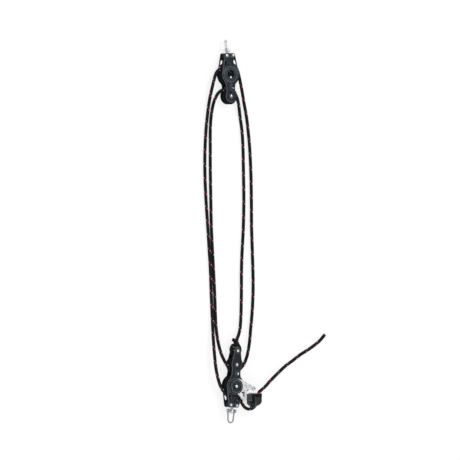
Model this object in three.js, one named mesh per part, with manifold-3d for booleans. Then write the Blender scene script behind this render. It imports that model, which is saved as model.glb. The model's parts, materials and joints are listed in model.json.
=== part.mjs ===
// A four-part rope tackle, slack and lying on its side: two fiddle blocks with swivel
// shackles, the lower one with a becket and a pivoting cam cleat, and the rope through them.
// Millimetres. X runs from the upper block to the lower one, Z is up from the ground.

import * as THREE from "three";
import { mergeVertices } from "three/addons/utils/BufferGeometryUtils.js";
import Module from "manifold-3d";

const wasm = await Module();
wasm.setup();

// Clearances shared by every piece
const touchGap = 0.3;
const sheavePlay = 0.6;
const overrun = 1;
const mergeDistance = 0.0005;

// Rope
const ropeDiameter = 8;
const ropeRadius = ropeDiameter / 2;
const ropeRest = 4.2;

// Fiddle block: widths across the axles, sheaves and how far apart they stand
const blockWidth = 25;
const proud = 1.5;
const cheekThickness = 3.5;
const bigSheaveDiameter = 57;
const smallSheaveDiameter = 40;
const sheaveSpace = 3.5;
const becketSpacing = 33;
const ropeSink = 2;
const grooveGap = 0.8;

const axleSpacing = (bigSheaveDiameter + smallSheaveDiameter) / 2 + sheaveSpace;
const blockHalf = blockWidth / 2;
const cheekOuter = blockHalf - proud;
const cheekInner = cheekOuter - cheekThickness;
const spacerHalf = cheekInner - touchGap;
const sheaveHalf = cheekInner - sheavePlay;
const bigSeat = bigSheaveDiameter / 2 - ropeSink;
const smallSeat = smallSheaveDiameter / 2 - ropeSink;

// Cheek outline
const cheek = {
  headEnd: 50,
  headHalf: 15,
  hubRadius: 24.5,
  lobeRadius: 15.5,
  becketRadius: 9,
  waistAngle: 48,
  lobeAngle: 112,
  waistPull: 9,
};

// Openings in the cheek, each a slot between two points with a half width
const headSlot = { near: 24, far: 30.4, inner: 13.8, outer: 11.8, half: 3.2 };
const neckSlot = { near: 29.5, far: 36.5, across: 5.6, half: 1.4 };

// Fixings
const rivet = { radius: 2, headRadius: 3.1, inset: 5, across: 9 };
const flatHeadShare = 0.7;
const axle = { radius: 2.6, bushRadius: 5, becketRadius: 4 };

// Big hub with its ball race
const hub = { boreRadius: 9.5, endRadius: 11.5 };
const ball = { count: 14, radius: 2.5, pitchRadius: 16 };
const cage = { half: 1, wall: 1.5 };
const lug = { offset: 7.9, radius: 3.5, pinRadius: 1.8, headRadius: 2.8 };

// Head piece and swivel
const head = { length: 11.5, half: 12.5, corner: 2.5, pocketDepth: 4, pocketRadius: 5.6 };
const swivel = {
  shankRadius: 3,
  flangeRadius: 5.2,
  flangeThickness: 2,
  collarRadius: 4.6,
  collarLength: 1.8,
  eyeReach: 8.5,
  eyeRadius: 7,
  eyeHoleRadius: 3,
  eyeThickness: 5,
};

// Shackles
const bow = {
  wireRadius: 2.25,
  half: 9,
  earRadius: 4.5,
  upperLength: 22.5,
  lowerLength: 28.2,
  upperLean: 11.3,
  upperRoll: 22,
};
const shacklePin = { radius: 2.5, headRadius: 4.2, headLength: 2.6, tail: 0.2 };

// Cleat arm: pivot, side plates, clamp discs
const plateThickness = 1.5;
const disc = { radius: 18, thickness: 2.4, stepRadius: 12.8, step: 0.6, recessRadius: 6.4, recess: 1.6 };
const armPivotRadius = 7;
const armBolt = { radius: 4, headRadius: 5.8, headSunk: 0.2 };
const plate = {
  hubRadius: 17,
  startAngle: 10,
  endAngle: 200,
  shoulder: [-14, 20],
  shoulderPull: [-21, 5],
  earRadius: 6.5,
  earCentre: [4.6, 50],
  earFoot: [8, 41],
  earStart: -22.5,
  earEnd: 198,
  tipLength: 43,
  tipHalf: 1.6,
};
const windowCorners = { near: 12, far: 28, inner: 15, outer: 24 };
const web = { clear: 0.5, thickness: 1.6, start: 4, end: 27 };
const standoff = { radius: 1.4, bodyRadius: 3, headRadius: 2.6, headThickness: 0.9, spacing: 7.2 };

// Cam cleat on the arm, listed outwards from the web
const riser = { start: 17.6, end: 34, height: 20.6, half: 9, corner: 3 };
const cleat = { start: 26, baseEnd: 44.5, baseThickness: 5.4, capThickness: 5.4, entry: 40 };
const cam = { height: 15, play: 0.5, reach: 4.6, noseAngle: 60, backRadius: 4.4, postX: 35.5, boreRadius: 2.1 };
const camStep = 20;
const camPost = { radius: 1.8, headRadius: 3.4, headThickness: 1.3, seat: 1.8 };
const camSpring = { innerRadius: 2.4, outerRadius: 3.1, height: 3.4, recessRadius: 3.4, recessDepth: 4 };
const fairlead = { start: 17.4, length: 8.2, half: 13.4, corner: 8, wall: 2.6 };
const rim = { thickness: 1.7, lip: 0.6 };

// Barrel that cleat base and cap are cut from: half sizes, and how it narrows along the rope
const barrel = { half: 14.2, depth: 16, stations: [26, 36, 42, 47, 51, 53] };
const barrelShares = [1, 0.985, 0.93, 0.82, 0.66, 0.5];

// Where the two blocks lie, and how far each leans off the line between them
const upperHub = { x: -374.4, y: -12.5, lean: 1.8 };
const lowerHub = { x: 368.7, y: -1.8, lean: 175 };

// Heights worked out from the widths
const plateInner = blockHalf + touchGap;
const plateOuter = plateInner + plateThickness;
const discInner = plateOuter + touchGap;
const lowerHalf = discInner + disc.thickness;

// Places outwards from the big axle to the cleat
const webInner = bigSheaveDiameter / 2 + web.clear;
const webOuter = webInner + web.thickness;
const riserFoot = webOuter + touchGap;
const riserTop = riserFoot + riser.height;
const baseFoot = riserTop + touchGap;
const baseTop = baseFoot + cleat.baseThickness;
const camFoot = baseTop + cam.play;
const camTop = camFoot + cam.height;
const capFoot = camTop + cam.play;
const capTop = capFoot + cleat.capThickness;
const postSeat = capFoot + camPost.seat;
const cleatAxis = (camFoot + camTop) / 2;
const camPostZ = ropeRadius + touchGap + cam.reach;

// Rope routes by hand: x, y, z between the points where the rope leaves its sheaves
const routes = {
  // becket knot to the upper small sheave
  firstFall: [
    [254.5, 11.4, 15.4], [249, 16, 13.4], [234, 24, 9], [204, 29.5, 5.4], [170, 31.5, ropeRest],
    [137, 32, ropeRest], [102, 32, ropeRest], [66, 33, ropeRest], [32, 35, ropeRest], [-8, 37.5, ropeRest],
    [-70, 39, ropeRest], [-138, 38, ropeRest], [-210, 36, ropeRest], [-243, 33, ropeRest], [-276, 27, 5],
    [-300, 20, 10], [-317, 13.8, 12.4],
  ],
  // upper small sheave to lower small sheave
  secondFall: [
    [-337, -29, 12.5], [-330, -39.5, 11.4], [-317, -47.5, 9.4], [-300, -52.5, 6.8], [-272, -56.5, 4.6],
    [-241, -58.5, ropeRest],
    [-199, -58.5, ropeRest], [-158, -58.5, ropeRest], [-76, -57, ropeRest], [-14, -55.5, ropeRest],
    [40, -52.5, ropeRest], [86, -49.5, ropeRest], [154, -45.5, ropeRest], [191, -44.5, 5], [224, -44.5, 7.6],
    [259, -42, 11.6], [290, -35, 15.4], [310, -25, 17],
  ],
  // lower small sheave to upper big sheave
  thirdFall: [
    [318, 28.5, 17], [298, 39.5, 15.8], [266, 49.5, 12], [232, 56, 8.2], [197, 62, 5.2], [164, 65, ropeRest],
    [133, 66, ropeRest], [98, 65.5, ropeRest], [30, 63, ropeRest], [-8, 61.5, ropeRest], [-70, 61, ropeRest],
    [-138, 59.5, ropeRest], [-204, 55.5, ropeRest], [-237, 51.5, 4.6], [-272, 45.5, 6], [-306, 36, 9],
    [-340, 27, 11.8], [-366, 20, 12.5], [-379, 16.3, 12.5],
  ],
  // upper big sheave to lower big sheave
  fourthFall: [
    [-378, -46.5, 12.5], [-339, -58.5, 10.6], [-304, -64.5, 7], [-274, -67.5, 4.8], [-251, -70, ropeRest],
    [-220, -72.5, ropeRest], [-189, -74, ropeRest], [-138, -74, ropeRest], [-76, -71, ropeRest],
    [-14, -66, ropeRest], [40, -62, ropeRest], [86, -58.5, ropeRest], [154, -55.5, ropeRest], [191, -54, 5],
    [224, -54, 7.6], [259, -54.5, 11.4], [294, -54, 15.4], [328, -50.5, 17], [361, -41, 17], [377.5, -31.5, 17],
  ],
  // lower big sheave round to the cleat
  lead: [
    [395.4, 7, 17], [396.8, 13, 17], [401.5, 19.2, 17], [408.5, 24.4, 17], [415.5, 29.6, 17],
    [420.6, 36.5, 17], [422.6, 44.5, 17], [421.8, 51.5, 17], [419.3, 57.6, 17], [416.2, 61.4, 17],
  ],
  // out of the cleat, over the ground to the sealed end
  tail: [
    [396.4, 64, 17], [393.8, 64.7, 17.4], [391, 66.1, 18.9], [388.4, 67.9, 21.2], [386, 69, 22.4],
    [384.2, 69.5, 22.9], [382.4, 70, 23.1], [380.6, 71.6, 23.1], [377.8, 76.6, 22.3], [373.2, 84.8, 19.8],
    [365.4, 97.3, 15.6], [357.7, 108.1, 11.6], [339.6, 132.4, 7.8], [321.5, 157, 5.6],
    [306.8, 181.2, 4.6], [293, 203.4, ropeRest], [280.1, 228, ropeRest], [262, 256.8, ropeRest],
    [245.1, 274.8, ropeRest],
  ],
};

// Contact of the rope with each sheave, in degrees about its axle
const contact = {
  upperBig: [130, 230],
  upperSmall: [130, 192],
  lowerSmall: [-55, 40],
  lowerBig: [-45, 0],
};

const guard = 5;

// How finely curves are cut
const tubeSides = 8;
const wrapStepDegrees = 14;
const rimSegments = 32;
const fine = 24;
const middling = 20;
const coarse = 12;
const cornerSegments = 4;
const outlineSegments = 5;
const ballSegments = 6;
const bowSegments = 8;
const halfTurn = 180;
const degrees = Math.PI / halfTurn;

// Finishes
function finish(color, roughness, metalness) {
  return new THREE.MeshStandardMaterial({ color, roughness, metalness });
}
const nylon = () => finish(0x23262a, 0.55, 0);
const sheaveNylon = () => finish(0x2b2e33, 0.45, 0);
const steel = () => finish(0xc9ccd0, 0.25, 1);
const ropeFibre = () => finish(0x1c1f24, 0.9, 0);
const redNylon = () => finish(0xc2252b, 0.45, 0);
const springSteel = () => finish(0x9a9da1, 0.35, 1);

// Solids in and out of the boolean library
function triangles(geometry) {
  const bare = new THREE.BufferGeometry();
  bare.setAttribute("position", geometry.getAttribute("position").clone());
  if (geometry.index) bare.setIndex(geometry.index.clone());
  const merged = mergeVertices(bare, mergeDistance);
  const position = merged.getAttribute("position");
  const index = [];
  for (let i = 0; i < merged.index.count; i += 3) {
    const corners = [merged.index.getX(i), merged.index.getX(i + 1), merged.index.getX(i + 2)];
    if (new Set(corners).size === 3) index.push(...corners);
  }
  let volume = 0;
  const a = new THREE.Vector3();
  const b = new THREE.Vector3();
  const c = new THREE.Vector3();
  for (let i = 0; i < index.length; i += 3) {
    a.fromBufferAttribute(position, index[i]);
    b.fromBufferAttribute(position, index[i + 1]);
    c.fromBufferAttribute(position, index[i + 2]);
    volume += a.dot(b.cross(c));
  }
  if (volume < 0) {
    for (let i = 0; i < index.length; i += 3) {
      [index[i + 1], index[i + 2]] = [index[i + 2], index[i + 1]];
    }
  }
  return { position: position.array, index: new Uint32Array(index) };
}

function solidOf(geometry) {
  const { position, index } = triangles(geometry);
  return new wasm.Manifold(new wasm.Mesh({ numProp: 3, vertProperties: position, triVerts: index }));
}

function geometryOf(solid) {
  const mesh = solid.getMesh();
  const geometry = new THREE.BufferGeometry();
  const position = new Float32Array(mesh.vertProperties);
  geometry.setAttribute("position", new THREE.BufferAttribute(position, mesh.numProp));
  geometry.setIndex(new THREE.BufferAttribute(new Uint32Array(mesh.triVerts), 1));
  geometry.computeVertexNormals();
  return geometry;
}

function join(first, ...others) {
  return geometryOf(others.reduce((sum, other) => sum.add(solidOf(other)), solidOf(first)));
}

function cut(body, ...tools) {
  return geometryOf(tools.reduce((rest, tool) => rest.subtract(solidOf(tool)), solidOf(body)));
}

// Basic forms
function turned(profile, segments = fine) {
  const points = profile.map(([r, z]) => new THREE.Vector2(r, z));
  const geometry = new THREE.LatheGeometry(points, segments);
  geometry.rotateX(Math.PI / 2);
  return geometryOf(solidOf(geometry));
}

function rod(radius, from, to, segments = coarse) {
  return turned([[0, from], [radius, from], [radius, to], [0, to]], segments);
}

function tubePiece(inner, outer, from, to, segments = fine) {
  const profile = [[inner, from], [outer, from], [outer, to], [inner, to], [inner, from]];
  return turned(profile, segments);
}

function slab(shape, from, to, curveSegments = outlineSegments) {
  const { shape: points, holes } = shape.extractPoints(curveSegments);
  const outline = new THREE.Shape(THREE.ShapeUtils.isClockWise(points) ? points.reverse() : points);
  outline.holes = holes.map((hole) => new THREE.Path(hole));
  const geometry = new THREE.ExtrudeGeometry(outline, { depth: to - from, bevelEnabled: false });
  geometry.translate(0, 0, from);
  return geometry;
}

function roundedRectangle(x0, x1, y0, y1, radius, shape = new THREE.Shape()) {
  shape.moveTo(x0 + radius, y0);
  shape.lineTo(x1 - radius, y0);
  shape.absarc(x1 - radius, y0 + radius, radius, -Math.PI / 2, 0, false);
  shape.lineTo(x1, y1 - radius);
  shape.absarc(x1 - radius, y1 - radius, radius, 0, Math.PI / 2, false);
  shape.lineTo(x0 + radius, y1);
  shape.absarc(x0 + radius, y1 - radius, radius, Math.PI / 2, Math.PI, false);
  shape.lineTo(x0, y0 + radius);
  shape.absarc(x0 + radius, y0 + radius, radius, Math.PI, 1.5 * Math.PI, false);
  return shape;
}

function roundHole(x, y, radius, count = coarse) {
  const points = [];
  for (let i = 0; i < count; i++) {
    const angle = (i * 2 * Math.PI) / count;
    points.push(new THREE.Vector2(x + radius * Math.cos(angle), y + radius * Math.sin(angle)));
  }
  return new THREE.Path(points);
}

function slotHole([x0, y0], [x1, y1], half) {
  const along = Math.atan2(y1 - y0, x1 - x0);
  const path = new THREE.Path();
  path.absarc(x0, y0, half, along + Math.PI / 2, along + 1.5 * Math.PI, false);
  path.absarc(x1, y1, half, along - Math.PI / 2, along + Math.PI / 2, false);
  path.closePath();
  return path;
}

// Tube of flat sides along a curve
function tubeAlong(curve, radius, steps) {
  const shape = new THREE.Shape();
  for (let i = 0; i < tubeSides; i++) {
    const angle = ((i + 0.5) * 2 * Math.PI) / tubeSides;
    const point = [radius * Math.cos(angle), radius * Math.sin(angle)];
    if (i) shape.lineTo(...point);
    else shape.moveTo(...point);
  }
  shape.closePath();
  return new THREE.ExtrudeGeometry(shape, { steps, extrudePath: curve, bevelEnabled: false });
}

// Smooth curve whose steps fall on the points themselves, however far apart those lie
class Route extends THREE.CatmullRomCurve3 {
  constructor(points) {
    super(points, false, "centripetal");
  }

  getUtoTmapping(share) {
    return share;
  }
}

function tubeThrough(points, radius) {
  return tubeAlong(new Route(points), radius, points.length - 1);
}

function named(name, geometry, material) {
  const mesh = new THREE.Mesh(geometry, material);
  mesh.name = name;
  return mesh;
}

// Cheeks
function cheekOutline(withBecket) {
  const shape = new THREE.Shape();
  const { headEnd, headHalf, hubRadius, lobeRadius, becketRadius, waistPull } = cheek;
  const corner = Math.hypot(headEnd, headHalf);
  const tangent = Math.PI - Math.atan2(headHalf, headEnd) - Math.acos(hubRadius / corner);
  const waist = cheek.waistAngle * degrees;
  const lobe = cheek.lobeAngle * degrees;
  const becketX = axleSpacing + becketSpacing;
  const leave = Math.acos((lobeRadius - becketRadius) / becketSpacing);
  const waistEnd = [hubRadius * Math.cos(waist), hubRadius * Math.sin(waist)];
  const lobeStart = [axleSpacing + lobeRadius * Math.cos(lobe), lobeRadius * Math.sin(lobe)];
  const waistControl = [
    waistEnd[0] + waistPull * Math.sin(waist),
    waistEnd[1] - waistPull * Math.cos(waist),
  ];
  const lobeControl = [
    lobeStart[0] - waistPull * Math.sin(lobe),
    lobeStart[1] + waistPull * Math.cos(lobe),
  ];
  shape.moveTo(-headEnd, -headHalf);
  shape.lineTo(-headEnd, headHalf);
  shape.lineTo(hubRadius * Math.cos(tangent), hubRadius * Math.sin(tangent));
  shape.absarc(0, 0, hubRadius, tangent, waist, true);
  shape.bezierCurveTo(...waistControl, ...lobeControl, ...lobeStart);
  if (withBecket) {
    shape.absarc(axleSpacing, 0, lobeRadius, lobe, leave, true);
    shape.absarc(becketX, 0, becketRadius, leave, -leave, true);
    shape.absarc(axleSpacing, 0, lobeRadius, -leave, -lobe, true);
  } else {
    shape.absarc(axleSpacing, 0, lobeRadius, lobe, -lobe, true);
  }
  shape.bezierCurveTo(
    lobeControl[0], -lobeControl[1], waistControl[0], -waistControl[1], waistEnd[0], -waistEnd[1],
  );
  shape.absarc(0, 0, hubRadius, -waist, -tangent, true);
  shape.closePath();
  return shape;
}

function cheekGeometry(withBecket) {
  const shape = cheekOutline(withBecket);
  const hubHole = hub.endRadius + touchGap;
  const axleHole = axle.radius + touchGap;
  const rivetX = -cheek.headEnd + rivet.inset;
  const holes = [roundHole(0, 0, hubHole, fine), roundHole(axleSpacing, 0, axleHole)];
  if (withBecket) holes.push(roundHole(axleSpacing + becketSpacing, 0, axleHole));
  for (const side of [-1, 1]) {
    holes.push(roundHole(rivetX, side * rivet.across, rivet.radius + touchGap));
    const near = [-headSlot.near, side * headSlot.inner];
    const far = [-headSlot.far, side * headSlot.outer];
    holes.push(slotHole(near, far, headSlot.half));
    const neckNear = [neckSlot.near, side * neckSlot.across];
    const neckFar = [neckSlot.far, side * neckSlot.across];
    holes.push(slotHole(neckNear, neckFar, neckSlot.half));
  }
  shape.holes.push(...holes);
  return slab(shape, cheekInner, cheekOuter);
}

// Sheaves
function sheaveGeometry(rimRadius, boreRadius, segments) {
  const seat = rimRadius - ropeSink;
  const groove = ropeRadius + grooveGap;
  const diagonal = groove * Math.SQRT1_2;
  const flare = groove + ropeSink / 2;
  const half = [[rimRadius, sheaveHalf], [rimRadius, flare], [seat, groove], [seat - diagonal, diagonal]];
  const profile = [[boreRadius, sheaveHalf], ...half, [seat - groove, 0]];
  const mirrored = half.map(([r, z]) => [r, -z]).reverse();
  profile.push(...mirrored, [boreRadius, -sheaveHalf], [boreRadius, sheaveHalf]);
  return turned(profile, segments);
}

function ballCageGeometry() {
  const inner = ball.pitchRadius - cage.wall / 2;
  const base = tubePiece(inner, inner + cage.wall, -cage.half, cage.half, ball.count);
  const balls = [];
  for (let i = 0; i < ball.count; i++) {
    const angle = ((i + 0.5) * 2 * Math.PI) / ball.count;
    const one = new THREE.SphereGeometry(ball.radius, ballSegments, cornerSegments);
    one.rotateX(Math.PI / 2);
    one.translate(ball.pitchRadius * Math.cos(angle), ball.pitchRadius * Math.sin(angle), 0);
    balls.push(one);
  }
  return join(base, ...balls);
}

// Hub sleeve: the inner race between the cheeks, with an end in each cheek
function hubProfile(bore, pivotRadius) {
  const race = ball.pitchRadius - ball.radius - touchGap;
  const side = [[race, spacerHalf], [hub.endRadius, spacerHalf], [hub.endRadius, blockHalf]];
  if (pivotRadius) side.push([pivotRadius, blockHalf], [pivotRadius, plateOuter]);
  const end = pivotRadius ? plateOuter : blockHalf;
  side.push([bore, end]);
  const mirrored = side.map(([r, z]) => [r, -z]);
  return [...side, ...mirrored.reverse(), side[0]];
}

function upperHubGeometry() {
  const sleeve = turned(hubProfile(hub.boreRadius, 0));
  const boss = rod(lug.radius, -cheekOuter, cheekOuter);
  boss.translate(lug.offset, 0, 0);
  const hole = rod(lug.pinRadius + touchGap, -blockHalf, blockHalf);
  hole.translate(lug.offset, 0, 0);
  const seat = rod(lug.headRadius + touchGap, 0, blockWidth);
  seat.translate(lug.offset, 0, cheekOuter);
  const farSeat = seat.clone().rotateX(Math.PI);
  return cut(join(sleeve, boss), hole, seat, farSeat);
}

// Shouldered or plain rivet, the same at both ends: each head runs from under to top
function rivetGeometry({ shank, headRadius, under, top, middle = 0, middleHalf = spacerHalf }) {
  const shoulder = (under + top) / 2;
  const side = [[0, top], [headRadius * flatHeadShare, top], [headRadius, shoulder], [headRadius, under]];
  side.push([shank, under]);
  if (middle) side.push([shank, middleHalf], [middle, middleHalf]);
  const mirrored = side.map(([r, z]) => [r, -z]).reverse();
  return turned([...side, ...mirrored], coarse);
}

function blockRivet(shank, headRadius, middle = 0) {
  return rivetGeometry({ shank, headRadius, under: cheekOuter + touchGap, top: blockHalf, middle });
}

// Head piece that the swivel turns in
function headGeometry() {
  const { headEnd } = cheek;
  const inner = -headEnd + head.length;
  const shape = roundedRectangle(-headEnd, inner, -head.half, head.half, head.corner);
  for (const side of [-1, 1]) {
    const x = -headEnd + rivet.inset;
    shape.holes.push(roundHole(x, side * rivet.across, rivet.radius + touchGap));
  }
  const body = slab(shape, -spacerHalf, spacerHalf, cornerSegments);
  const bore = rod(swivel.shankRadius + touchGap, -headEnd - overrun, inner + overrun);
  const pocketHole = rod(head.pocketRadius, inner - head.pocketDepth, inner + overrun);
  bore.rotateY(Math.PI / 2);
  pocketHole.rotateY(Math.PI / 2);
  return cut(body, bore, pocketHole);
}

const eyeX = -cheek.headEnd - swivel.eyeReach;

// Swivel post: flange inside the head, collar outside it and a flat eye
function swivelGeometry() {
  const floor = -cheek.headEnd + head.length - head.pocketDepth + touchGap;
  const collarFrom = -cheek.headEnd - touchGap;
  const collarTo = collarFrom - swivel.collarLength;
  const stem = turned([
    [0, floor + swivel.flangeThickness],
    [swivel.flangeRadius, floor + swivel.flangeThickness],
    [swivel.flangeRadius, floor],
    [swivel.shankRadius, floor],
    [swivel.shankRadius, collarFrom],
    [swivel.collarRadius, collarFrom],
    [swivel.collarRadius, collarTo],
    [0, collarTo],
  ], coarse);
  stem.rotateY(Math.PI / 2);
  const eyeHalf = swivel.eyeThickness / 2;
  const eye = rod(swivel.eyeRadius, -eyeHalf, eyeHalf, fine);
  eye.translate(eyeX, 0, 0);
  const hole = rod(swivel.eyeHoleRadius, -swivel.eyeThickness, swivel.eyeThickness);
  hole.translate(eyeX, 0, 0);
  return cut(join(stem, eye), hole);
}

// Shackle, its pin along Z at the origin and its crown towards -X
function bowGeometry(length) {
  const { half, wireRadius, earRadius } = bow;
  const points = [];
  const straight = length - half;
  for (const x of [0, -straight / 2, -straight]) points.push(new THREE.Vector3(x, 0, half));
  for (let i = 1; i < bowSegments; i++) {
    const angle = (i * Math.PI) / bowSegments;
    const x = -straight - half * Math.sin(angle);
    points.push(new THREE.Vector3(x, 0, half * Math.cos(angle)));
  }
  for (const x of [-straight, -straight / 2, 0]) points.push(new THREE.Vector3(x, 0, -half));
  const wire = tubeThrough(points, wireRadius);
  const ears = [-half, half].map((z) => {
    const ear = rod(earRadius, -wireRadius, wireRadius);
    ear.translate(0, 0, z);
    return ear;
  });
  const hole = rod(shacklePin.radius + touchGap, -2 * half, 2 * half);
  return cut(join(wire, ...ears), hole);
}

function shacklePinGeometry() {
  const end = bow.half + bow.wireRadius;
  const from = end + touchGap;
  return turned([
    [0, -end - shacklePin.tail],
    [shacklePin.radius, -end - shacklePin.tail],
    [shacklePin.radius, from],
    [shacklePin.headRadius, from],
    [shacklePin.headRadius, from + shacklePin.headLength],
    [0, from + shacklePin.headLength],
  ], middling);
}

// One fiddle block with its swivel and shackle; the names of its pieces begin with its own
function fiddleBlock(name, withBecket) {
  const block = new THREE.Group();
  const cheekShape = cheekGeometry(withBecket);
  block.add(named(`${name}_cheek_near`, cheekShape, nylon()));
  const farCheek = named(`${name}_cheek_far`, cheekShape, nylon());
  farCheek.rotation.x = Math.PI;
  block.add(farCheek);
  block.add(named(`${name}_head`, headGeometry(), nylon()));
  for (const [i, side] of [-1, 1].entries()) {
    const fixing = named(`${name}_head_rivet_${i + 1}`, blockRivet(rivet.radius, rivet.headRadius), steel());
    fixing.position.set(-cheek.headEnd + rivet.inset, side * rivet.across, 0);
    block.add(fixing);
  }
  const bigBore = ball.pitchRadius + ball.radius + touchGap;
  const bigForm = sheaveGeometry(bigSheaveDiameter / 2, bigBore, rimSegments);
  block.add(named(`${name}_big_sheave`, bigForm, sheaveNylon()));
  block.add(named(`${name}_ball_cage`, ballCageGeometry(), sheaveNylon()));
  const smallBore = axle.bushRadius + touchGap;
  const smallForm = sheaveGeometry(smallSheaveDiameter / 2, smallBore, fine);
  const small = named(`${name}_small_sheave`, smallForm, sheaveNylon());
  const smallAxleForm = blockRivet(axle.radius, rivet.headRadius, axle.bushRadius);
  const smallAxle = named(`${name}_small_axle`, smallAxleForm, steel());
  small.position.x = axleSpacing;
  smallAxle.position.x = axleSpacing;
  block.add(small, smallAxle);
  if (withBecket) {
    const sleeve = turned(hubProfile(armBolt.radius + touchGap, armPivotRadius));
    const becketForm = blockRivet(axle.radius, rivet.headRadius, axle.becketRadius);
    const becket = named(`${name}_becket_pin`, becketForm, steel());
    becket.position.x = axleSpacing + becketSpacing;
    block.add(named(`${name}_hub_sleeve`, sleeve, nylon()), becket);
  } else {
    const pin = named(`${name}_hub_rivet`, blockRivet(lug.pinRadius, lug.headRadius), steel());
    pin.position.x = lug.offset;
    block.add(named(`${name}_hub_sleeve`, upperHubGeometry(), nylon()), pin);
  }
  block.add(shackled(name, withBecket));
  return block;
}

// Swivel and shackle: the lower one lies flat, the upper one stands nearly on edge and leans
function shackled(name, flat) {
  const turning = new THREE.Group();
  const shackle = new THREE.Group();
  const length = flat ? bow.lowerLength : bow.upperLength;
  shackle.add(named(`${name}_shackle_bow`, bowGeometry(length), steel()));
  shackle.add(named(`${name}_shackle_pin`, shacklePinGeometry(), steel()));
  shackle.position.x = eyeX;
  if (flat) {
    turning.rotation.x = Math.PI / 2;
  } else {
    turning.rotation.x = bow.upperRoll * degrees;
    shackle.rotation.z = bow.upperLean * degrees;
  }
  turning.add(named(`${name}_swivel`, swivelGeometry(), steel()), shackle);
  return turning;
}

// Slabs across the arm: one whose outline lies in XZ, one whose outline lies in YZ
function slabAcross(shape, from, to) {
  return slab(shape, -to, -from).rotateX(Math.PI / 2);
}

function slabAlong(shape, from, to) {
  const turn = new THREE.Matrix4().set(0, 0, 1, 0, 1, 0, 0, 0, 0, 1, 0, 0, 0, 0, 0, 1);
  return slab(shape, from, to, cornerSegments).applyMatrix4(turn);
}

function rodAcross(radius, from, to) {
  return rod(radius, -to, -from).rotateX(Math.PI / 2);
}

// Cleat arm: two side plates on the big axle, the web and the two standoffs between them
function plateOutline() {
  const shape = new THREE.Shape();
  const { hubRadius, tipLength, tipHalf, earCentre, earRadius, earFoot } = plate;
  const start = plate.startAngle * degrees;
  const end = plate.endAngle * degrees;
  shape.moveTo(hubRadius * Math.cos(start), hubRadius * Math.sin(start));
  shape.lineTo(tipLength - 2 * tipHalf, webOuter - 2 * tipHalf);
  shape.quadraticCurveTo(tipLength, webOuter - tipHalf, tipLength - 2 * tipHalf, webOuter);
  shape.lineTo(earFoot[0], webOuter);
  shape.lineTo(earFoot[0] - tipHalf, earFoot[1]);
  shape.absarc(...earCentre, earRadius, plate.earStart * degrees, plate.earEnd * degrees, false);
  shape.lineTo(...plate.shoulder);
  shape.quadraticCurveTo(...plate.shoulderPull, hubRadius * Math.cos(end), hubRadius * Math.sin(end));
  shape.absarc(0, 0, hubRadius, end, start + 2 * Math.PI, false);
  shape.holes.push(roundHole(0, 0, armPivotRadius + touchGap, fine));
  const { near, far, inner, outer } = windowCorners;
  const corners = [[near, outer], [far, outer], [near + tipHalf, inner]];
  shape.holes.push(new THREE.Path(corners.map(([x, y]) => new THREE.Vector2(x, y))));
  for (const [x, y] of standoffPlaces()) shape.holes.push(roundHole(x, y, standoff.radius + touchGap));
  return shape;
}

function standoffPlaces() {
  const [x, y] = plate.earCentre;
  return [[x, y - standoff.spacing / 2], [x, y + standoff.spacing / 2]];
}

function discGeometry() {
  const bore = armBolt.radius + touchGap;
  const edge = disc.radius - disc.step;
  const floor = lowerHalf - disc.recess;
  return turned([
    [bore, discInner],
    [disc.radius, discInner],
    [disc.radius, lowerHalf - 2 * disc.step],
    [edge, lowerHalf - disc.step],
    [disc.stepRadius, lowerHalf - disc.step],
    [disc.stepRadius - disc.step, lowerHalf],
    [disc.recessRadius, lowerHalf],
    [disc.recessRadius, floor],
    [bore, floor],
    [bore, discInner],
  ], rimSegments);
}

function cleatArm() {
  const arm = new THREE.Group();
  const outline = plateOutline();
  arm.add(named("arm_plate_near", slab(outline, plateInner, plateOuter), steel()));
  arm.add(named("arm_plate_far", slab(outline, -plateOuter, -plateInner), steel()));
  const webBox = new THREE.BoxGeometry(web.end - web.start, web.thickness, blockWidth);
  const webMesh = named("arm_web", webBox, steel());
  webMesh.position.set((web.start + web.end) / 2, (webInner + webOuter) / 2, 0);
  arm.add(webMesh);
  const under = plateOuter + touchGap;
  const spacerForm = {
    shank: standoff.radius,
    headRadius: standoff.headRadius,
    under,
    top: under + standoff.headThickness,
    middle: standoff.bodyRadius,
    middleHalf: blockHalf,
  };
  for (const [i, [x, y]] of standoffPlaces().entries()) {
    const spacer = named(`arm_standoff_${i + 1}`, rivetGeometry(spacerForm), steel());
    spacer.position.set(x, y, 0);
    arm.add(spacer);
  }
  return arm;
}

// What clamps the arm on the big axle, fixed to the lower block
function armClamp() {
  const clamp = new THREE.Group();
  clamp.add(named("arm_disc_near", discGeometry(), nylon()));
  const far = named("arm_disc_far", discGeometry(), nylon());
  far.rotation.x = Math.PI;
  const bolt = rivetGeometry({
    shank: armBolt.radius,
    headRadius: armBolt.headRadius,
    under: lowerHalf - disc.recess + touchGap,
    top: lowerHalf - armBolt.headSunk,
  });
  clamp.add(far, named("arm_bolt", bolt, steel()));
  return clamp;
}

// Cam outline about its post, its straight face towards the rope at -Z
function camOutline() {
  const nose = cam.noseAngle;
  const noseRadius = cam.reach / Math.cos(nose * degrees);
  const points = [];
  for (let angle = 0; angle < 2 * halfTurn; angle += camStep) {
    let radius;
    if (angle <= nose) radius = cam.reach / Math.cos(angle * degrees);
    else if (angle <= halfTurn) {
      const share = (angle - nose) / (halfTurn - nose);
      radius = noseRadius + (cam.backRadius - noseRadius) * Math.sin((share * Math.PI) / 2);
    } else {
      const share = (angle - halfTurn) / halfTurn;
      radius = cam.backRadius + (cam.reach - cam.backRadius) * share;
    }
    points.push([-radius * Math.sin(angle * degrees), -radius * Math.cos(angle * degrees)]);
  }
  return points;
}

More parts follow.
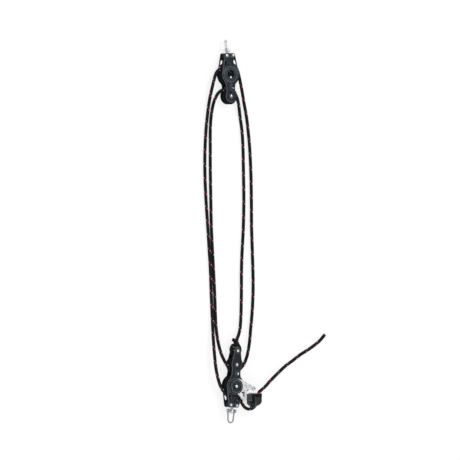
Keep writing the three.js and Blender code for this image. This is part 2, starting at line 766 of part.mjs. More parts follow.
function camGeometry(side) {
  const points = camOutline().map(([x, z]) => new THREE.Vector2(x, side * z));
  const body = slabAcross(new THREE.Shape(points), camFoot, camTop);
  const bore = rodAcross(cam.boreRadius, camFoot - overrun, camTop + overrun);
  const recess = rodAcross(camSpring.recessRadius, camFoot - overrun, camFoot + camSpring.recessDepth);
  return cut(body, bore, recess);
}

function camPostGeometry() {
  const { radius, headRadius, headThickness } = camPost;
  const under = postSeat + touchGap;
  const profile = [[0, baseFoot], [radius, baseFoot], [radius, under], [headRadius, under]];
  const top = under + headThickness;
  profile.push([headRadius, under + headThickness / 2], [radius, top], [0, top]);
  return turned(profile.map(([r, y]) => [r, -y]), coarse).rotateX(Math.PI / 2);
}

function springGeometry() {
  const { innerRadius, outerRadius, height } = camSpring;
  const from = camFoot;
  return tubePiece(innerRadius, outerRadius, -from - height, -from, coarse).rotateX(Math.PI / 2);
}

// Barrel round the rope, narrowing towards the end where the rope goes in
function barrelGeometry() {
  const last = barrel.stations.length - 1;
  const side = barrel.stations.map((x, i) => [barrelShares[i], x]);
  const form = turned([[0, barrel.stations[0]], ...side, [0, barrel.stations[last]]]);
  form.rotateY(Math.PI / 2);
  form.scale(1, barrel.half, barrel.depth);
  return form.translate(0, cleatAxis, 0);
}

function barrelSlice(end, from, to) {
  const length = end - cleat.start;
  const slice = new THREE.BoxGeometry(length, to - from, 2 * barrel.depth + overrun);
  slice.translate(cleat.start + length / 2, (from + to) / 2, 0);
  return geometryOf(solidOf(barrelGeometry()).intersect(solidOf(slice)));
}

// Two cams on posts between base and cap, a funnel with a rim where the rope comes out
function camCleat() {
  const group = new THREE.Group();
  const riserShape = roundedRectangle(riser.start, riser.end, -riser.half, riser.half, riser.corner);
  group.add(named("cleat_riser", slabAcross(riserShape, riserFoot, riserTop), nylon()));
  const place = (tool, side) => tool.translate(cam.postX, 0, side * camPostZ);
  const holeRadius = camPost.radius + touchGap;
  const seatRadius = camPost.headRadius + touchGap;
  const clearTop = capTop + overrun;
  const through = [-1, 1].map((side) => place(rodAcross(holeRadius, baseFoot - overrun, clearTop), side));
  const seats = [-1, 1].map((side) => place(rodAcross(seatRadius, postSeat, clearTop), side));
  const base = barrelSlice(cleat.baseEnd, baseFoot, baseTop);
  const cap = barrelSlice(barrel.stations[barrel.stations.length - 1], capFoot, capTop);
  group.add(named("cleat_base", cut(base, ...through), nylon()));
  group.add(named("cleat_cap", cut(cap, ...through, ...seats), nylon()));
  for (const [i, side] of [1, -1].entries()) {
    const jaw = named(`cleat_cam_${i + 1}`, camGeometry(side), nylon());
    const post = named(`cleat_post_${i + 1}`, camPostGeometry(), steel());
    const spring = named(`cleat_spring_${i + 1}`, springGeometry(), springSteel());
    for (const mesh of [jaw, post, spring]) {
      mesh.position.set(cam.postX, 0, side * camPostZ);
      group.add(mesh);
    }
  }
  group.add(named("cleat_fairlead", frameGeometry(0, fairlead.start, fairlead.length), nylon()));
  const rimStart = fairlead.start - touchGap - rim.thickness;
  group.add(named("cleat_rim", frameGeometry(rim.lip, rimStart, rim.thickness), redNylon()));
  return group;
}

// Rounded square frame that the rope runs through
function frameGeometry(grow, from, length) {
  const outer = fairlead.half + grow;
  const inner = fairlead.half - fairlead.wall;
  const corner = fairlead.corner;
  const hole = new THREE.Path();
  const shape = roundedRectangle(cleatAxis - outer, cleatAxis + outer, -outer, outer, corner + grow);
  roundedRectangle(cleatAxis - inner, cleatAxis + inner, -inner, inner, corner - fairlead.wall, hole);
  shape.holes.push(hole);
  return slabAlong(shape, from, from + length);
}

// Rope where it lies on a sheave: an arc at the sheave's seat
class Wrap extends THREE.Curve {
  constructor(centre, radius, [from, to]) {
    super();
    this.centre = centre;
    this.radius = radius;
    this.from = from * degrees;
    this.to = to * degrees;
  }

  getPoint(share, target = new THREE.Vector3()) {
    const angle = this.from + share * (this.to - this.from);
    const x = this.centre.x + this.radius * Math.cos(angle);
    const y = this.centre.y + this.radius * Math.sin(angle);
    return target.set(x, y, this.centre.z);
  }

  steps() {
    return Math.ceil(Math.abs(this.to - this.from) / degrees / wrapStepDegrees);
  }

  // A point past one end of the arc, straight on, for the rope that goes on from there
  beyond(end, distance) {
    const share = end === "start" ? 0 : 1;
    const sign = end === "start" ? -1 : 1;
    return this.getPoint(share).addScaledVector(this.getTangent(share), sign * distance);
  }
}

function axleAt(place, z, distance) {
  const lean = place.lean * degrees;
  const x = place.x + distance * Math.cos(lean);
  return new THREE.Vector3(x, place.y + distance * Math.sin(lean), z);
}

function routePoints(name) {
  return routes[name].map(([x, y, z]) => new THREE.Vector3(x, y, z));
}

// Becket knot in the lower block's own frame: a loop round the pin, the knot and its short end
const knot = { reach: 21, length: 8.5, width: 7.5, thickness: 7.2, segments: 8 };
const knotEnd = { from: [0, 2], to: [5, 12.5] };
// Half the loop from the knot down to the pin, as distances along the block and across it from the pin
const loopHalf = [[16.5, 4.5], [12.5, 9], [7, 12.2], [1, 13], [-4.5, 10.4], [-7.8, 5.8]];

function knotGeometry() {
  const pinX = axleSpacing + becketSpacing;
  const middle = pinX + knot.reach;
  const flatReach = ropeRadius * Math.cos(Math.PI / tubeSides);
  const turnX = pinX - (axle.becketRadius + touchGap + flatReach);
  const half = loopHalf.map(([x, y]) => new THREE.Vector3(pinX + x, y, 0));
  const otherHalf = half.map(({ x, y }) => new THREE.Vector3(x, -y, 0)).reverse();
  const points = [...half, new THREE.Vector3(turnX, 0, 0), ...otherHalf];
  const body = new THREE.SphereGeometry(1, coarse, knot.segments);
  body.scale(knot.length, knot.width, knot.thickness);
  body.translate(middle, 0, 0);
  const [fromX, fromY] = knotEnd.from;
  const [toX, toY] = knotEnd.to;
  const end = tubeThrough([
    new THREE.Vector3(middle + fromX, fromY, 0),
    new THREE.Vector3(middle + toX, toY, 0),
  ], ropeRadius);
  return join(body, tubeThrough(points, ropeRadius), end);
}

function rope() {
  const group = new THREE.Group();
  const upperBig = new Wrap(axleAt(upperHub, blockHalf, 0), bigSeat, contact.upperBig);
  const upperSmall = new Wrap(axleAt(upperHub, blockHalf, axleSpacing), smallSeat, contact.upperSmall);
  const lowerSmall = new Wrap(axleAt(lowerHub, lowerHalf, axleSpacing), smallSeat, contact.lowerSmall);
  const lowerBig = new Wrap(axleAt(lowerHub, lowerHalf, 0), bigSeat, contact.lowerBig);
  const add = (name, geometry) => group.add(named(name, geometry, ropeFibre()));
  const wraps = { upper_small: upperSmall, lower_small: lowerSmall, upper_big: upperBig, lower_big: lowerBig };
  for (const [name, wrap] of Object.entries(wraps)) {
    add(`rope_on_${name}`, tubeAlong(wrap, ropeRadius, wrap.steps()));
  }

  const leaving = (wrap, end) => [wrap.beyond(end, touchGap), wrap.beyond(end, guard)];
  const arriving = (wrap, end) => leaving(wrap, end).reverse();
  const cleatEntry = new THREE.Vector3(lowerHub.x + cleat.entry, lowerHub.y + cleatAxis, lowerHalf);
  const entry = (distance) => cleatEntry.clone().setX(cleatEntry.x + distance);

  const firstFall = [...routePoints("firstFall"), ...arriving(upperSmall, "start")];
  const secondFall = [
    ...leaving(upperSmall, "end"), ...routePoints("secondFall"), ...arriving(lowerSmall, "start"),
  ];
  const thirdFall = [
    ...leaving(lowerSmall, "end"), ...routePoints("thirdFall"), ...arriving(upperBig, "start"),
  ];
  const fourthFall = [
    ...leaving(upperBig, "end"), ...routePoints("fourthFall"), ...arriving(lowerBig, "start"),
  ];
  const lead = [...leaving(lowerBig, "end"), ...routePoints("lead"), entry(guard), entry(touchGap)];
  const tail = [entry(0), entry(-guard), ...routePoints("tail")];
  add("rope_fall_1", tubeThrough(firstFall, ropeRadius));
  add("rope_fall_2", tubeThrough(secondFall, ropeRadius));
  add("rope_fall_3", tubeThrough(thirdFall, ropeRadius));
  add("rope_fall_4", tubeThrough(fourthFall, ropeRadius));
  add("rope_lead", tubeThrough(lead, ropeRadius));
  add("rope_tail", tubeThrough(tail, ropeRadius));
  return group;
}

// The tackle
const upperBlock = fiddleBlock("upper", false);
upperBlock.position.set(upperHub.x, upperHub.y, blockHalf);
upperBlock.rotation.z = upperHub.lean * degrees;

const lowerBlock = fiddleBlock("lower", true);
lowerBlock.add(named("rope_knot", knotGeometry(), ropeFibre()));
lowerBlock.add(armClamp());
lowerBlock.position.set(lowerHub.x, lowerHub.y, lowerHalf);
lowerBlock.rotation.z = lowerHub.lean * degrees;

const arm = cleatArm();
arm.add(camCleat());
arm.position.set(lowerHub.x, lowerHub.y, lowerHalf);

const tackle = new THREE.Group();
tackle.add(upperBlock, lowerBlock, arm, rope());
export default tackle;
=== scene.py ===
"""A four-part rope tackle lying slack on pale ground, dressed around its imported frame.

Sizes are in millimetres in each piece's own frame and turned to metres when the piece is made.
X runs from the upper block to the lower one and Z is up from the ground.
"""

import json
import logging
import math
from dataclasses import dataclass, field
from enum import Enum

import bmesh
import bpy
import numpy as np
from mathutils import Matrix, Vector

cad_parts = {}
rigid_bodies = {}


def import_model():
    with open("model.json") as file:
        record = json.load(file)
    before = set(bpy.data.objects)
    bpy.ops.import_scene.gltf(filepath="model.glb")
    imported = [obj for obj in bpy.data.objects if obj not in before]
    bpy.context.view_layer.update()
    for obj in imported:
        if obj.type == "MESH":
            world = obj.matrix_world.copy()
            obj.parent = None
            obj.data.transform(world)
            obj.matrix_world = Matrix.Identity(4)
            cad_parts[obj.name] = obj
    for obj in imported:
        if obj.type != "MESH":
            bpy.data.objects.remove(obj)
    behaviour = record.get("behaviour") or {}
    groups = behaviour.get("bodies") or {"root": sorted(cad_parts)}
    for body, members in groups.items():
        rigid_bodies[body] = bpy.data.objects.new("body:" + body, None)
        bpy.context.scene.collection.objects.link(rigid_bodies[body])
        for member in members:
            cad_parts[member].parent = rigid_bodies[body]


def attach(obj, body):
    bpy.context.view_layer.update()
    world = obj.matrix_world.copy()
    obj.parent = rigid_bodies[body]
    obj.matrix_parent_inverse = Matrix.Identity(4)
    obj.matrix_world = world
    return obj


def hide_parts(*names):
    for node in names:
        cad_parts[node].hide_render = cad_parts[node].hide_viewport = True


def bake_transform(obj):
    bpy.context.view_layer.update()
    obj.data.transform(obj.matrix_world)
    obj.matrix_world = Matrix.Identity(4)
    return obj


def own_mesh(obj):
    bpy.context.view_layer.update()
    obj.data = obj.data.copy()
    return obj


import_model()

log = logging.getLogger("tackle")

MM = 0.001
TURN = 2 * math.pi
SIDES = (-1, 1)
TOUCH_GAP = 0.3
# half the thickness of a block, and of the lower one with its clamp discs
BLOCK_HALF = 12.5
LOWER_HALF = 17.0
# faces of a cheek, and half the gap between the cheeks that the head fills
CHEEK_OUTER = 11.0
CHEEK_INNER = 7.5
HEAD_HALF = 7.2
ROPE_RADIUS = 4.0
# height of the rope's middle on the ground
ROPE_REST = 4.2
STRANDS = 8
PLAIT = 4.2
AXLE_SPACING = 52.0
BECKET_SPACING = 33.0
# radii at which the rope's middle lies on the sheaves
BIG_SEAT = 26.5
SMALL_SEAT = 18.0
# from the arm's pivot to the rope in the cleat
CLEAT_AXIS = 65.2

Point = tuple[float, float]
Socket = bpy.types.NodeSocket


class Slot(Enum):
    """Material slots of the record."""

    NYLON = "moulded_nylon"
    ACETAL = "sheave_nylon"
    STEEL = "polished_steel"
    WIRE = "spring_steel"
    RED = "red_nylon"
    ROPE = "braided_rope"


# the word that ends the name of a piece with this finish
PIECE_WORDS = {
    Slot.NYLON: "moulding",
    Slot.ACETAL: "turned",
    Slot.STEEL: "steel",
    Slot.WIRE: "wire",
    Slot.RED: "moulding",
}


# Forms in millimetres


@dataclass
class Form:
    """Points in millimetres and the faces between them."""

    points: np.ndarray
    faces: list[tuple[int, ...]]

    def moved(self, place: Matrix) -> "Form":
        """Returns the form carried by a matrix in millimetres."""
        return Form(self.points @ np.array(place.to_3x3()).T + np.array(place.translation), self.faces)

    def __add__(self, other: "Form") -> "Form":
        """Returns both forms as one."""
        faces = [tuple(i + len(self.points) for i in face) for face in other.faces]
        return Form(np.vstack([self.points, other.points]), self.faces + faces)


def shift(x: float = 0, y: float = 0, z: float = 0) -> Matrix:
    """Returns a move by x, y and z."""
    return Matrix.Translation((x, y, z))


def turn(degrees: float, axis: str) -> Matrix:
    """Returns a turn about X, Y or Z."""
    return Matrix.Rotation(math.radians(degrees), 4, axis)


# outline in X and Z with its height along Y, and outline in Y and Z with its height along X
ACROSS = Matrix(((1, 0, 0, 0), (0, 0, 1, 0), (0, 1, 0, 0), (0, 0, 0, 1)))
ALONG = Matrix(((0, 0, 1, 0), (1, 0, 0, 0), (0, 1, 0, 0), (0, 0, 0, 1)))


def arc(x: float, y: float, radius: float, start: float, end: float, step: float = 6) -> list[Point]:
    """Returns points along an arc, both ends among them.

    Args:
        x: Centre.
        y: Centre.
        radius: Radius.
        start: First angle in degrees.
        end: Last angle in degrees.
        step: Largest angle between two points.
    Returns:
        The points.
    """
    count = max(2, math.ceil(abs(end - start) / step) + 1)
    angles = np.radians(np.linspace(start, end, count))
    return [(x + radius * math.cos(a), y + radius * math.sin(a)) for a in angles]


def circle(x: float, y: float, radius: float, count: int = 32) -> list[Point]:
    """Returns a closed circle without its last point."""
    return arc(x, y, radius, 0, 360, 360 / count)[:-1]


def slot_outline(side: int, first: Point, last: Point, half: float) -> list[Point]:
    """Returns a slot with round ends about two centres, on the side of Y that side 1 or -1 names.

    Args:
        side: 1, or -1 for the slot's mirror image.
        first: Centre of one end.
        last: Centre of the other end.
        half: Half the slot's width.
    Returns:
        The outline.
    """
    lean = math.degrees(math.atan2(side * last[1] - side * first[1], last[0] - first[0]))
    start = arc(first[0], side * first[1], half, lean + 90, lean + 270, 20)
    return start + arc(last[0], side * last[1], half, lean - 90, lean + 90, 20)


def ring_places(count: int, radius: float) -> list[Point]:
    """Returns places all round a circle, half a step off X."""
    angles = [TURN * (k + 0.5) / count for k in range(count)]
    return [(radius * math.cos(a), radius * math.sin(a)) for a in angles]


def with_mirror(half: list[Point], shared: int = 0) -> list[Point]:
    """Returns half an outline and its mirror image below, its last shared points taken once."""
    return half + [(x, -y) for x, y in reversed(half[: len(half) - shared])]


def bezier(ends: list, pieces: int) -> list[Point]:
    """Returns a curve from the first point to the last that the points between them pull on.

    Args:
        ends: The first point, the ones that pull, and the last.
        pieces: Pieces in the curve.
    Returns:
        Its points, both ends among them.
    """
    order = len(ends) - 1
    curve = []
    for t in np.linspace(0, 1, pieces + 1):
        weights = [math.comb(order, i) * (1 - t) ** (order - i) * t**i for i in range(order + 1)]
        curve.append(tuple(np.array(weights) @ np.array(ends)))
    return curve


def rounded(points: list[Point], radius: float, steps: int = 4, closed: bool = True) -> list[Point]:
    """Rounds the corners of an outline.

    Args:
        points: Corners.
        radius: Radius at a corner that has room for it.
        steps: Pieces in each rounded corner.
        closed: Whether the last point joins the first.
    Returns:
        The rounded outline.
    """
    result = []
    count = len(points)
    for i in range(count):
        here = Vector(points[i])
        if not closed and i in (0, count - 1):
            result.append(tuple(here))
            continue
        before = Vector(points[i - 1]) - here
        after = Vector(points[(i + 1) % count]) - here
        angle = before.angle(after, math.pi)
        if angle > math.radians(168) or min(before.length, after.length) < 1e-6:
            result.append(tuple(here))
            continue
        reach = min(radius / math.tan(angle / 2), 0.48 * before.length, 0.48 * after.length)
        start = here + before.normalized() * reach
        end = here + after.normalized() * reach
        result += bezier([start, here, end], steps)
    return result


def box(left: float, right: float, low: float, high: float, corner: float, steps: int = 4) -> list[Point]:
    """Returns the outline of a box with rounded corners."""
    return rounded([(left, low), (right, low), (right, high), (left, high)], corner, steps)


def turned(profile: list[Point], segments: int = 64) -> Form:
    """Returns the solid of revolution of a profile of radius and height about Z.

    Args:
        profile: Closed, or open with both ends on the axis.
        segments: Pieces round the axis.
    Returns:
        The form.
    """
    points: list[tuple[float, float, float]] = []
    rings: list[list[int]] = []
    for radius, height in profile:
        if radius < 1e-6:
            rings.append([len(points)] * segments)
            points.append((0, 0, height))
            continue
        rings.append(list(range(len(points), len(points) + segments)))
        for k in range(segments):
            angle = TURN * k / segments
            points.append((radius * math.cos(angle), radius * math.sin(angle), height))
    closed = profile[0][0] > 1e-6
    faces = []
    for i in range(len(rings) if closed else len(rings) - 1):
        low, high = rings[i], rings[(i + 1) % len(rings)]
        for k in range(segments):
            n = (k + 1) % segments
            corners = list(dict.fromkeys((low[k], low[n], high[n], high[k])))
            if len(corners) > 2:
                faces.append(tuple(corners))
    return Form(np.array(points, float), faces)


def washer(
    inner: float, outer: float, low: float, high: float, edge: float, steps: int = 3, segments: int = 64
) -> Form:
    """Returns a ring with rounded edges."""
    return turned(box(inner, outer, low, high, edge, steps), segments)


def linked(name: str, data: bpy.types.ID) -> bpy.types.Object:
    """Puts an object in the scene.

    Args:
        name: Its name.
        data: The mesh, curve, lamp or camera that it holds.
    Returns:
        The object.
    """
    holder = bpy.data.objects.new(name, data)
    bpy.context.scene.collection.objects.link(holder)
    return holder


def mesh_of(name: str, form: Form, scale: float = 1) -> bpy.types.Mesh:
    """Returns a form as a mesh whose faces all look outwards.

    Args:
        name: Name of the mesh.
        form: The form.
        scale: Size of a millimetre in the mesh.
    Returns:
        The mesh.
    """
    mesh = bpy.data.meshes.new(name)
    mesh.from_pydata((form.points * scale).tolist(), [], form.faces)
    work = bmesh.new()
    work.from_mesh(mesh)
    bmesh.ops.recalc_face_normals(work, faces=work.faces)
    work.to_mesh(mesh)
    work.free()
    return mesh


def final_form(holder: bpy.types.Object, weld: float = 0) -> Form:
    """Returns what an object is after its modifiers.

    Args:
        holder: The object.
        weld: Distance up to which points are joined.
    Returns:
        The form.
    """
    mesh = bpy.data.meshes.new_from_object(holder.evaluated_get(bpy.context.evaluated_depsgraph_get()))
    work = bmesh.new()
    work.from_mesh(mesh)
    if weld:
        bmesh.ops.remove_doubles(work, verts=work.verts, dist=weld)
    points = np.array([v.co for v in work.verts], float)
    faces = [tuple(v.index for v in f.verts) for f in work.faces]
    work.free()
    bpy.data.meshes.remove(mesh)
    return Form(points, faces)


def drop(holder: bpy.types.Object) -> None:
    """Deletes a helper object with its data."""
    bpy.data.batch_remove([holder, holder.data])


def plate(outline: list[Point], holes: list[list[Point]], low: float, high: float, edge: float) -> Form:
    """Returns a plate with rounded edges and holes, its outline in X and Y.

    Args:
        outline: Outer edge.
        holes: Outlines of the holes.
        low: Lower face.
        high: Upper face.
        edge: Radius of the rounded edges.
    Returns:
        The form.
    """
    curve = bpy.data.curves.new("outline", "CURVE")
    curve.dimensions = "2D"
    curve.fill_mode = "BOTH"
    curve.extrude = (high - low) / 2 - edge
    curve.bevel_depth = edge
    curve.bevel_resolution = 2
    curve.offset = -edge
    for ring in [outline, *holes]:
        spline = curve.splines.new("POLY")
        spline.points.add(len(ring) - 1)
        for point, (x, y) in zip(spline.points, ring):
            point.co = (x, y, 0, 1)
        spline.use_cyclic_u = True
    holder = linked("outline", curve)
    form = final_form(holder, weld=1e-4)
    drop(holder)
    return form.moved(shift(z=(low + high) / 2))


def carved(body: Form, tool: Form) -> Form:
    """Returns a form less another one.

    Args:
        body: The form that is cut.
        tool: What is taken from it.
    Returns:
        The form that is left.
    """
    kept, taken = (linked("carved", mesh_of("carved", form)) for form in (body, tool))
    difference = kept.modifiers.new("difference", "BOOLEAN")
    difference.operation = "DIFFERENCE"
    difference.object = taken
    form = final_form(kept)
    drop(kept)
    drop(taken)
    return form


def lofted(points: np.ndarray, sides: int) -> Form:
    """Returns the body through rings of points, closed at both ends.

    Args:
        points: The rings' points, one ring after another.
        sides: Points in a ring.
    Returns:
        The form.
    """
    last = len(points) - sides
    faces = [tuple(range(sides)), tuple(range(last, len(points)))]
    for low in range(0, last, sides):
        high = low + sides
        for k in range(sides):
            n = (k + 1) % sides
            faces.append((low + k, low + n, high + n, high + k))
    return Form(points, faces)


def directions(path: np.ndarray) -> np.ndarray:
    """Returns the direction of a path at each of its points."""
    ahead = np.gradient(path, axis=0)
    return ahead / np.linalg.norm(ahead, axis=1)[:, None]


def runs_along(path: np.ndarray) -> np.ndarray:
    """Returns the length of a path up to each of its points."""
    return np.concatenate([[0], np.cumsum(np.linalg.norm(np.diff(path, axis=0), axis=1))])


def tube(path: np.ndarray, radius: float, sides: int) -> Form:
    """Returns a round bar along a path, closed at both ends.

    Args:
        path: Points in millimetres.
        radius: Radius of the bar.
        sides: Sides of its section.
    Returns:
        The form.
    """
    ahead = directions(path)
    side = np.cross(ahead[0], (0, 0, 1) if abs(ahead[0][2]) < 0.9 else (1, 0, 0))
    points = []
    for place, along in zip(path, ahead):
        side = side - along * side.dot(along)
        side /= np.linalg.norm(side)
        up = np.cross(along, side)
        for k in range(sides):
            angle = TURN * k / sides
            points.append(place + radius * (math.cos(angle) * side + math.sin(angle) * up))
    return lofted(np.array(points), sides)


def smooth_path(points: list, step: float) -> np.ndarray:
    """Returns a centripetal spline through points, in even steps.

    Args:
        points: Given places in millimetres. Those of two values lie on the ground.
        step: Distance between two points of the result.
    Returns:
        The path.
    """
    spots = np.array([(*point, ROPE_REST)[:3] for point in points], float)
    spots = np.vstack([2 * spots[0] - spots[1], spots, 2 * spots[-1] - spots[-2]])
    dense = []
    for i in range(1, len(spots) - 2):
        level = spots[i - 1 : i + 3]
        gaps = np.sqrt(np.linalg.norm(np.diff(level, axis=0), axis=1))
        knots = np.append(0, np.cumsum(gaps))
        t = np.linspace(knots[1], knots[2], 40, endpoint=False)[:, None]
        # blend the four points two by two between these knots, until one curve is left
        for pairs in (((0, 1), (1, 2), (2, 3)), ((0, 2), (1, 3)), ((1, 2),)):
            shares = [(t - knots[first]) / (knots[last] - knots[first]) for first, last in pairs]
            level = [(1 - share) * p + share * q for share, p, q in zip(shares, level, level[1:])]
        dense.append(level[0])
    dense = np.vstack([*dense, spots[-2]])
    run = runs_along(dense)
    even = np.linspace(0, run[-1], max(2, round(run[-1] / step) + 1))
    return np.column_stack([np.interp(even, run, dense[:, k]) for k in range(3)])


# Finishes


def linear(colour: str) -> tuple[float, ...]:
    """Returns the linear values of an sRGB colour such as #1d2024, with an alpha of 1."""
    values = (int(colour[i : i + 2], 16) / 255 for i in (1, 3, 5))
    return *(v / 12.92 if v <= 0.04045 else ((v + 0.055) / 1.055) ** 2.4 for v in values), 1.0


@dataclass
class Nodes:
    """A node tree, and short ways to add to it."""

    tree: bpy.types.NodeTree

    def fill(self, node: bpy.types.Node, inputs: dict) -> bpy.types.Node:
        """Sets or links a node's inputs.

        Args:
            node: The node.
            inputs: Values or output sockets by input name or number.
        Returns:
            The node.
        """
        for key, value in inputs.items():
            if isinstance(value, Socket):
                self.tree.links.new(value, node.inputs[key])
            else:
                node.inputs[key].default_value = value
        return node

    def add(self, kind: str, inputs: dict | None = None, **settings: object) -> bpy.types.Node:
        """Adds a node with its settings and inputs.

        Args:
            kind: Node type without its ShaderNode prefix.
            inputs: Values or output sockets by input name or number.
            settings: Properties of the node.
        Returns:
            The node.
        """
        node = self.tree.nodes.new("ShaderNode" + kind)
        for name, value in settings.items():
            setattr(node, name, value)
        return self.fill(node, inputs or {})

    def sum(self, operation: str, *values: Socket | float) -> Socket:
        """Returns the result of a sum on values or sockets."""
        return self.add("Math", dict(enumerate(values)), operation=operation).outputs[0]

    def spread(self, value: Socket, low: float, high: float, start: float, end: float) -> Socket:
        """Returns a value stretched so that low becomes start and high becomes end."""
        ends = {"Value": value, "From Min": low, "From Max": high, "To Min": start, "To Max": end}
        return self.add("MapRange", ends).outputs["Result"]

    def ramp(self, factor: Socket, *stops: tuple[float, str]) -> Socket:
        """Returns the colour that a factor has between two stops.

        Args:
            factor: Socket from 0 to 1.
            stops: Two places and their colours.
        Returns:
            The colour socket.
        """
        node = self.add("ValToRGB", {"Fac": factor})
        for element, (place, colour) in zip(node.color_ramp.elements, stops):
            element.position = place
            element.color = linear(colour)
        return node.outputs["Color"]

    def mixed(self, factor: Socket, first: Socket, last: Socket | tuple[float, ...]) -> Socket:
        """Returns a colour between two."""
        return self.add("Mix", {"Factor": factor, 6: first, 7: last}, data_type="RGBA").outputs[2]


class Skin(Nodes):
    """A material on its way: its nodes and its surface shader."""

    def __init__(self, name: str) -> None:
        """Starts the material.

        Args:
            name: Name of the material.
        """
        self.material = bpy.data.materials.new(name)
        self.material.use_nodes = True
        super().__init__(self.material.node_tree)
        self.surface = self.tree.nodes["Principled BSDF"]

    def place(self) -> Socket:
        """Returns the place in the piece's own frame."""
        return self.add("TexCoord").outputs["Object"]

    def noise(self, size: float, detail: float, place: Socket | None = None) -> Socket:
        """Returns a noise that repeats every size in millimetres, in the piece's frame or in a given one."""
        inputs = {"Vector": place or self.place(), "Scale": 1 / (size * MM), "Detail": detail}
        return self.add("TexNoise", inputs).outputs["Fac"]

    def bump(self, height: Socket, strength: float, relief: float) -> Socket:
        """Returns the normal of a relief given in millimetres."""
        inputs = {"Height": height, "Strength": strength, "Distance": relief * MM}
        return self.add("Bump", inputs).outputs["Normal"]

    def finished(self, **inputs: object) -> bpy.types.Material:
        """Returns the material once the surface shader has its inputs, named with _ for a space."""
        self.fill(self.surface, {name.replace("_", " "): value for name, value in inputs.items()})
        return self.material


@dataclass(frozen=True)
class MouldedNylon:
    """Glass-filled nylon from a spark-eroded mould: a soft black skin with fine grain, a pale mottle, and a
    painted highlight along its rounded edges.
    """

    name: str = "glass_filled_nylon_moulded"
    dark: str = "#07090b"
    light: str = "#232b30"
    # painted highlight: the pale colour that rounded edges take, and how far from an edge it reaches
    edge: str = "#76828a"
    edge_reach: float = 1.1
    # real grain is 0.1 mm; drawn coarser so that it shows
    grain: float = 0.45
    mottle: float = 9
    roughness: float = 0.34

    def material(self) -> bpy.types.Material:
        """Makes the material, with a painted highlight: paler where the surface bends within the edge's
        reach.

        Returns:
            The material.
        """
        skin = Skin(self.name)
        mottle = skin.noise(self.mottle, 4.0)
        # painted highlight: the colour goes pale where the bevelled normal turns away from the true one,
        # along every bend
        bent = skin.add("Bevel", {"Radius": self.edge_reach * MM}, samples=6).outputs["Normal"]
        flat = skin.add("NewGeometry").outputs["Normal"]
        same = skin.add("VectorMath", {0: bent, 1: flat}, operation="DOT_PRODUCT").outputs["Value"]
        edge_highlight = skin.spread(same, 0.99, 0.9, 0.0, 1.0)
        body = skin.ramp(mottle, (0.3, self.dark), (0.7, self.light))
        return skin.finished(
            Base_Color=skin.mixed(edge_highlight, body, linear(self.edge)),
            Roughness=skin.spread(mottle, 0.35, 0.7, self.roughness - 0.08, self.roughness + 0.12),
            Normal=skin.bump(skin.noise(self.grain, 3.0), 0.25, 0.12),
            IOR=1.53, Specular_IOR_Level=0.13,
        )


@dataclass(frozen=True)
class TurnedAcetal:
    """Acetal turned on a lathe: smooth and slightly waxy, with faint rings."""

    name: str = "acetal_turned"
    dark: str = "#0c0f12"
    light: str = "#191e22"
    mottle: float = 9
    rings: float = 0.8

    def material(self) -> bpy.types.Material:
        """Makes the material, its rings as a fine relief.

        Returns:
            The material.
        """
        skin = Skin(self.name)
        return skin.finished(
            Base_Color=skin.ramp(skin.noise(self.mottle, 3.0), (0.3, self.dark), (0.7, self.light)),
            Normal=skin.bump(skin.noise(self.rings, 2.0), 0.12, 0.1),
            Roughness=0.3, IOR=1.48, Specular_IOR_Level=0.06,
        )


@dataclass(frozen=True)
class PolishedStainless:
    """Stainless steel, forged and electropolished: bright, with soft tumbling marks and faint scratches."""

    name: str = "stainless_steel_electropolished"
    dark: str = "#b4b8bb"
    light: str = "#e6e7e8"
    cloud: float = 6
    scratch: float = 0.5
    roughness: float = 0.17

    def material(self) -> bpy.types.Material:
        """Makes the material, its scratches drawn out along X.

        Returns:
            The material.
        """
        skin = Skin(self.name)
        cloud = skin.noise(self.cloud, 5.0)
        drawn = skin.add("Mapping", {"Vector": skin.place(), "Scale": (0.12, 1.0, 1.0)}).outputs[0]
        return skin.finished(
            Base_Color=skin.ramp(cloud, (0.3, self.dark), (0.65, self.light)),
            Roughness=skin.spread(cloud, 0.3, 0.75, self.roughness - 0.06, self.roughness + 0.12),
            Normal=skin.bump(skin.noise(self.scratch, 2.0, drawn), 0.12, 0.06),
            Metallic=1.0,
        )


@dataclass(frozen=True)
class SpringWire:
    """Hard-drawn spring wire: dull grey with draw lines."""

    name: str = "spring_wire_drawn"
    dark: str = "#77797c"
    light: str = "#9fa2a5"
    draw_lines: float = 0.6

    def material(self) -> bpy.types.Material:
        """Makes the material.

        Returns:
            The material.
        """
        skin = Skin(self.name)
        colour = skin.ramp(skin.noise(self.draw_lines, 2.0), (0.3, self.dark), (0.7, self.light))
        return skin.finished(Base_Color=colour, Metallic=1.0, Roughness=0.34)


@dataclass(frozen=True)
class RedNylon:
    """Nylon coloured in the mass and moulded smooth: clear red, slightly glossy."""

    name: str = "red_nylon_moulded"
    dark: str = "#a81c24"
    light: str = "#c9303a"
    mottle: float = 7

    def material(self) -> bpy.types.Material:
        """Makes the material.

        Returns:
            The material.
        """
        skin = Skin(self.name)
        colour = skin.ramp(skin.noise(self.mottle, 3.0), (0.3, self.dark), (0.7, self.light))
        return skin.finished(Base_Color=colour, Roughness=0.35)


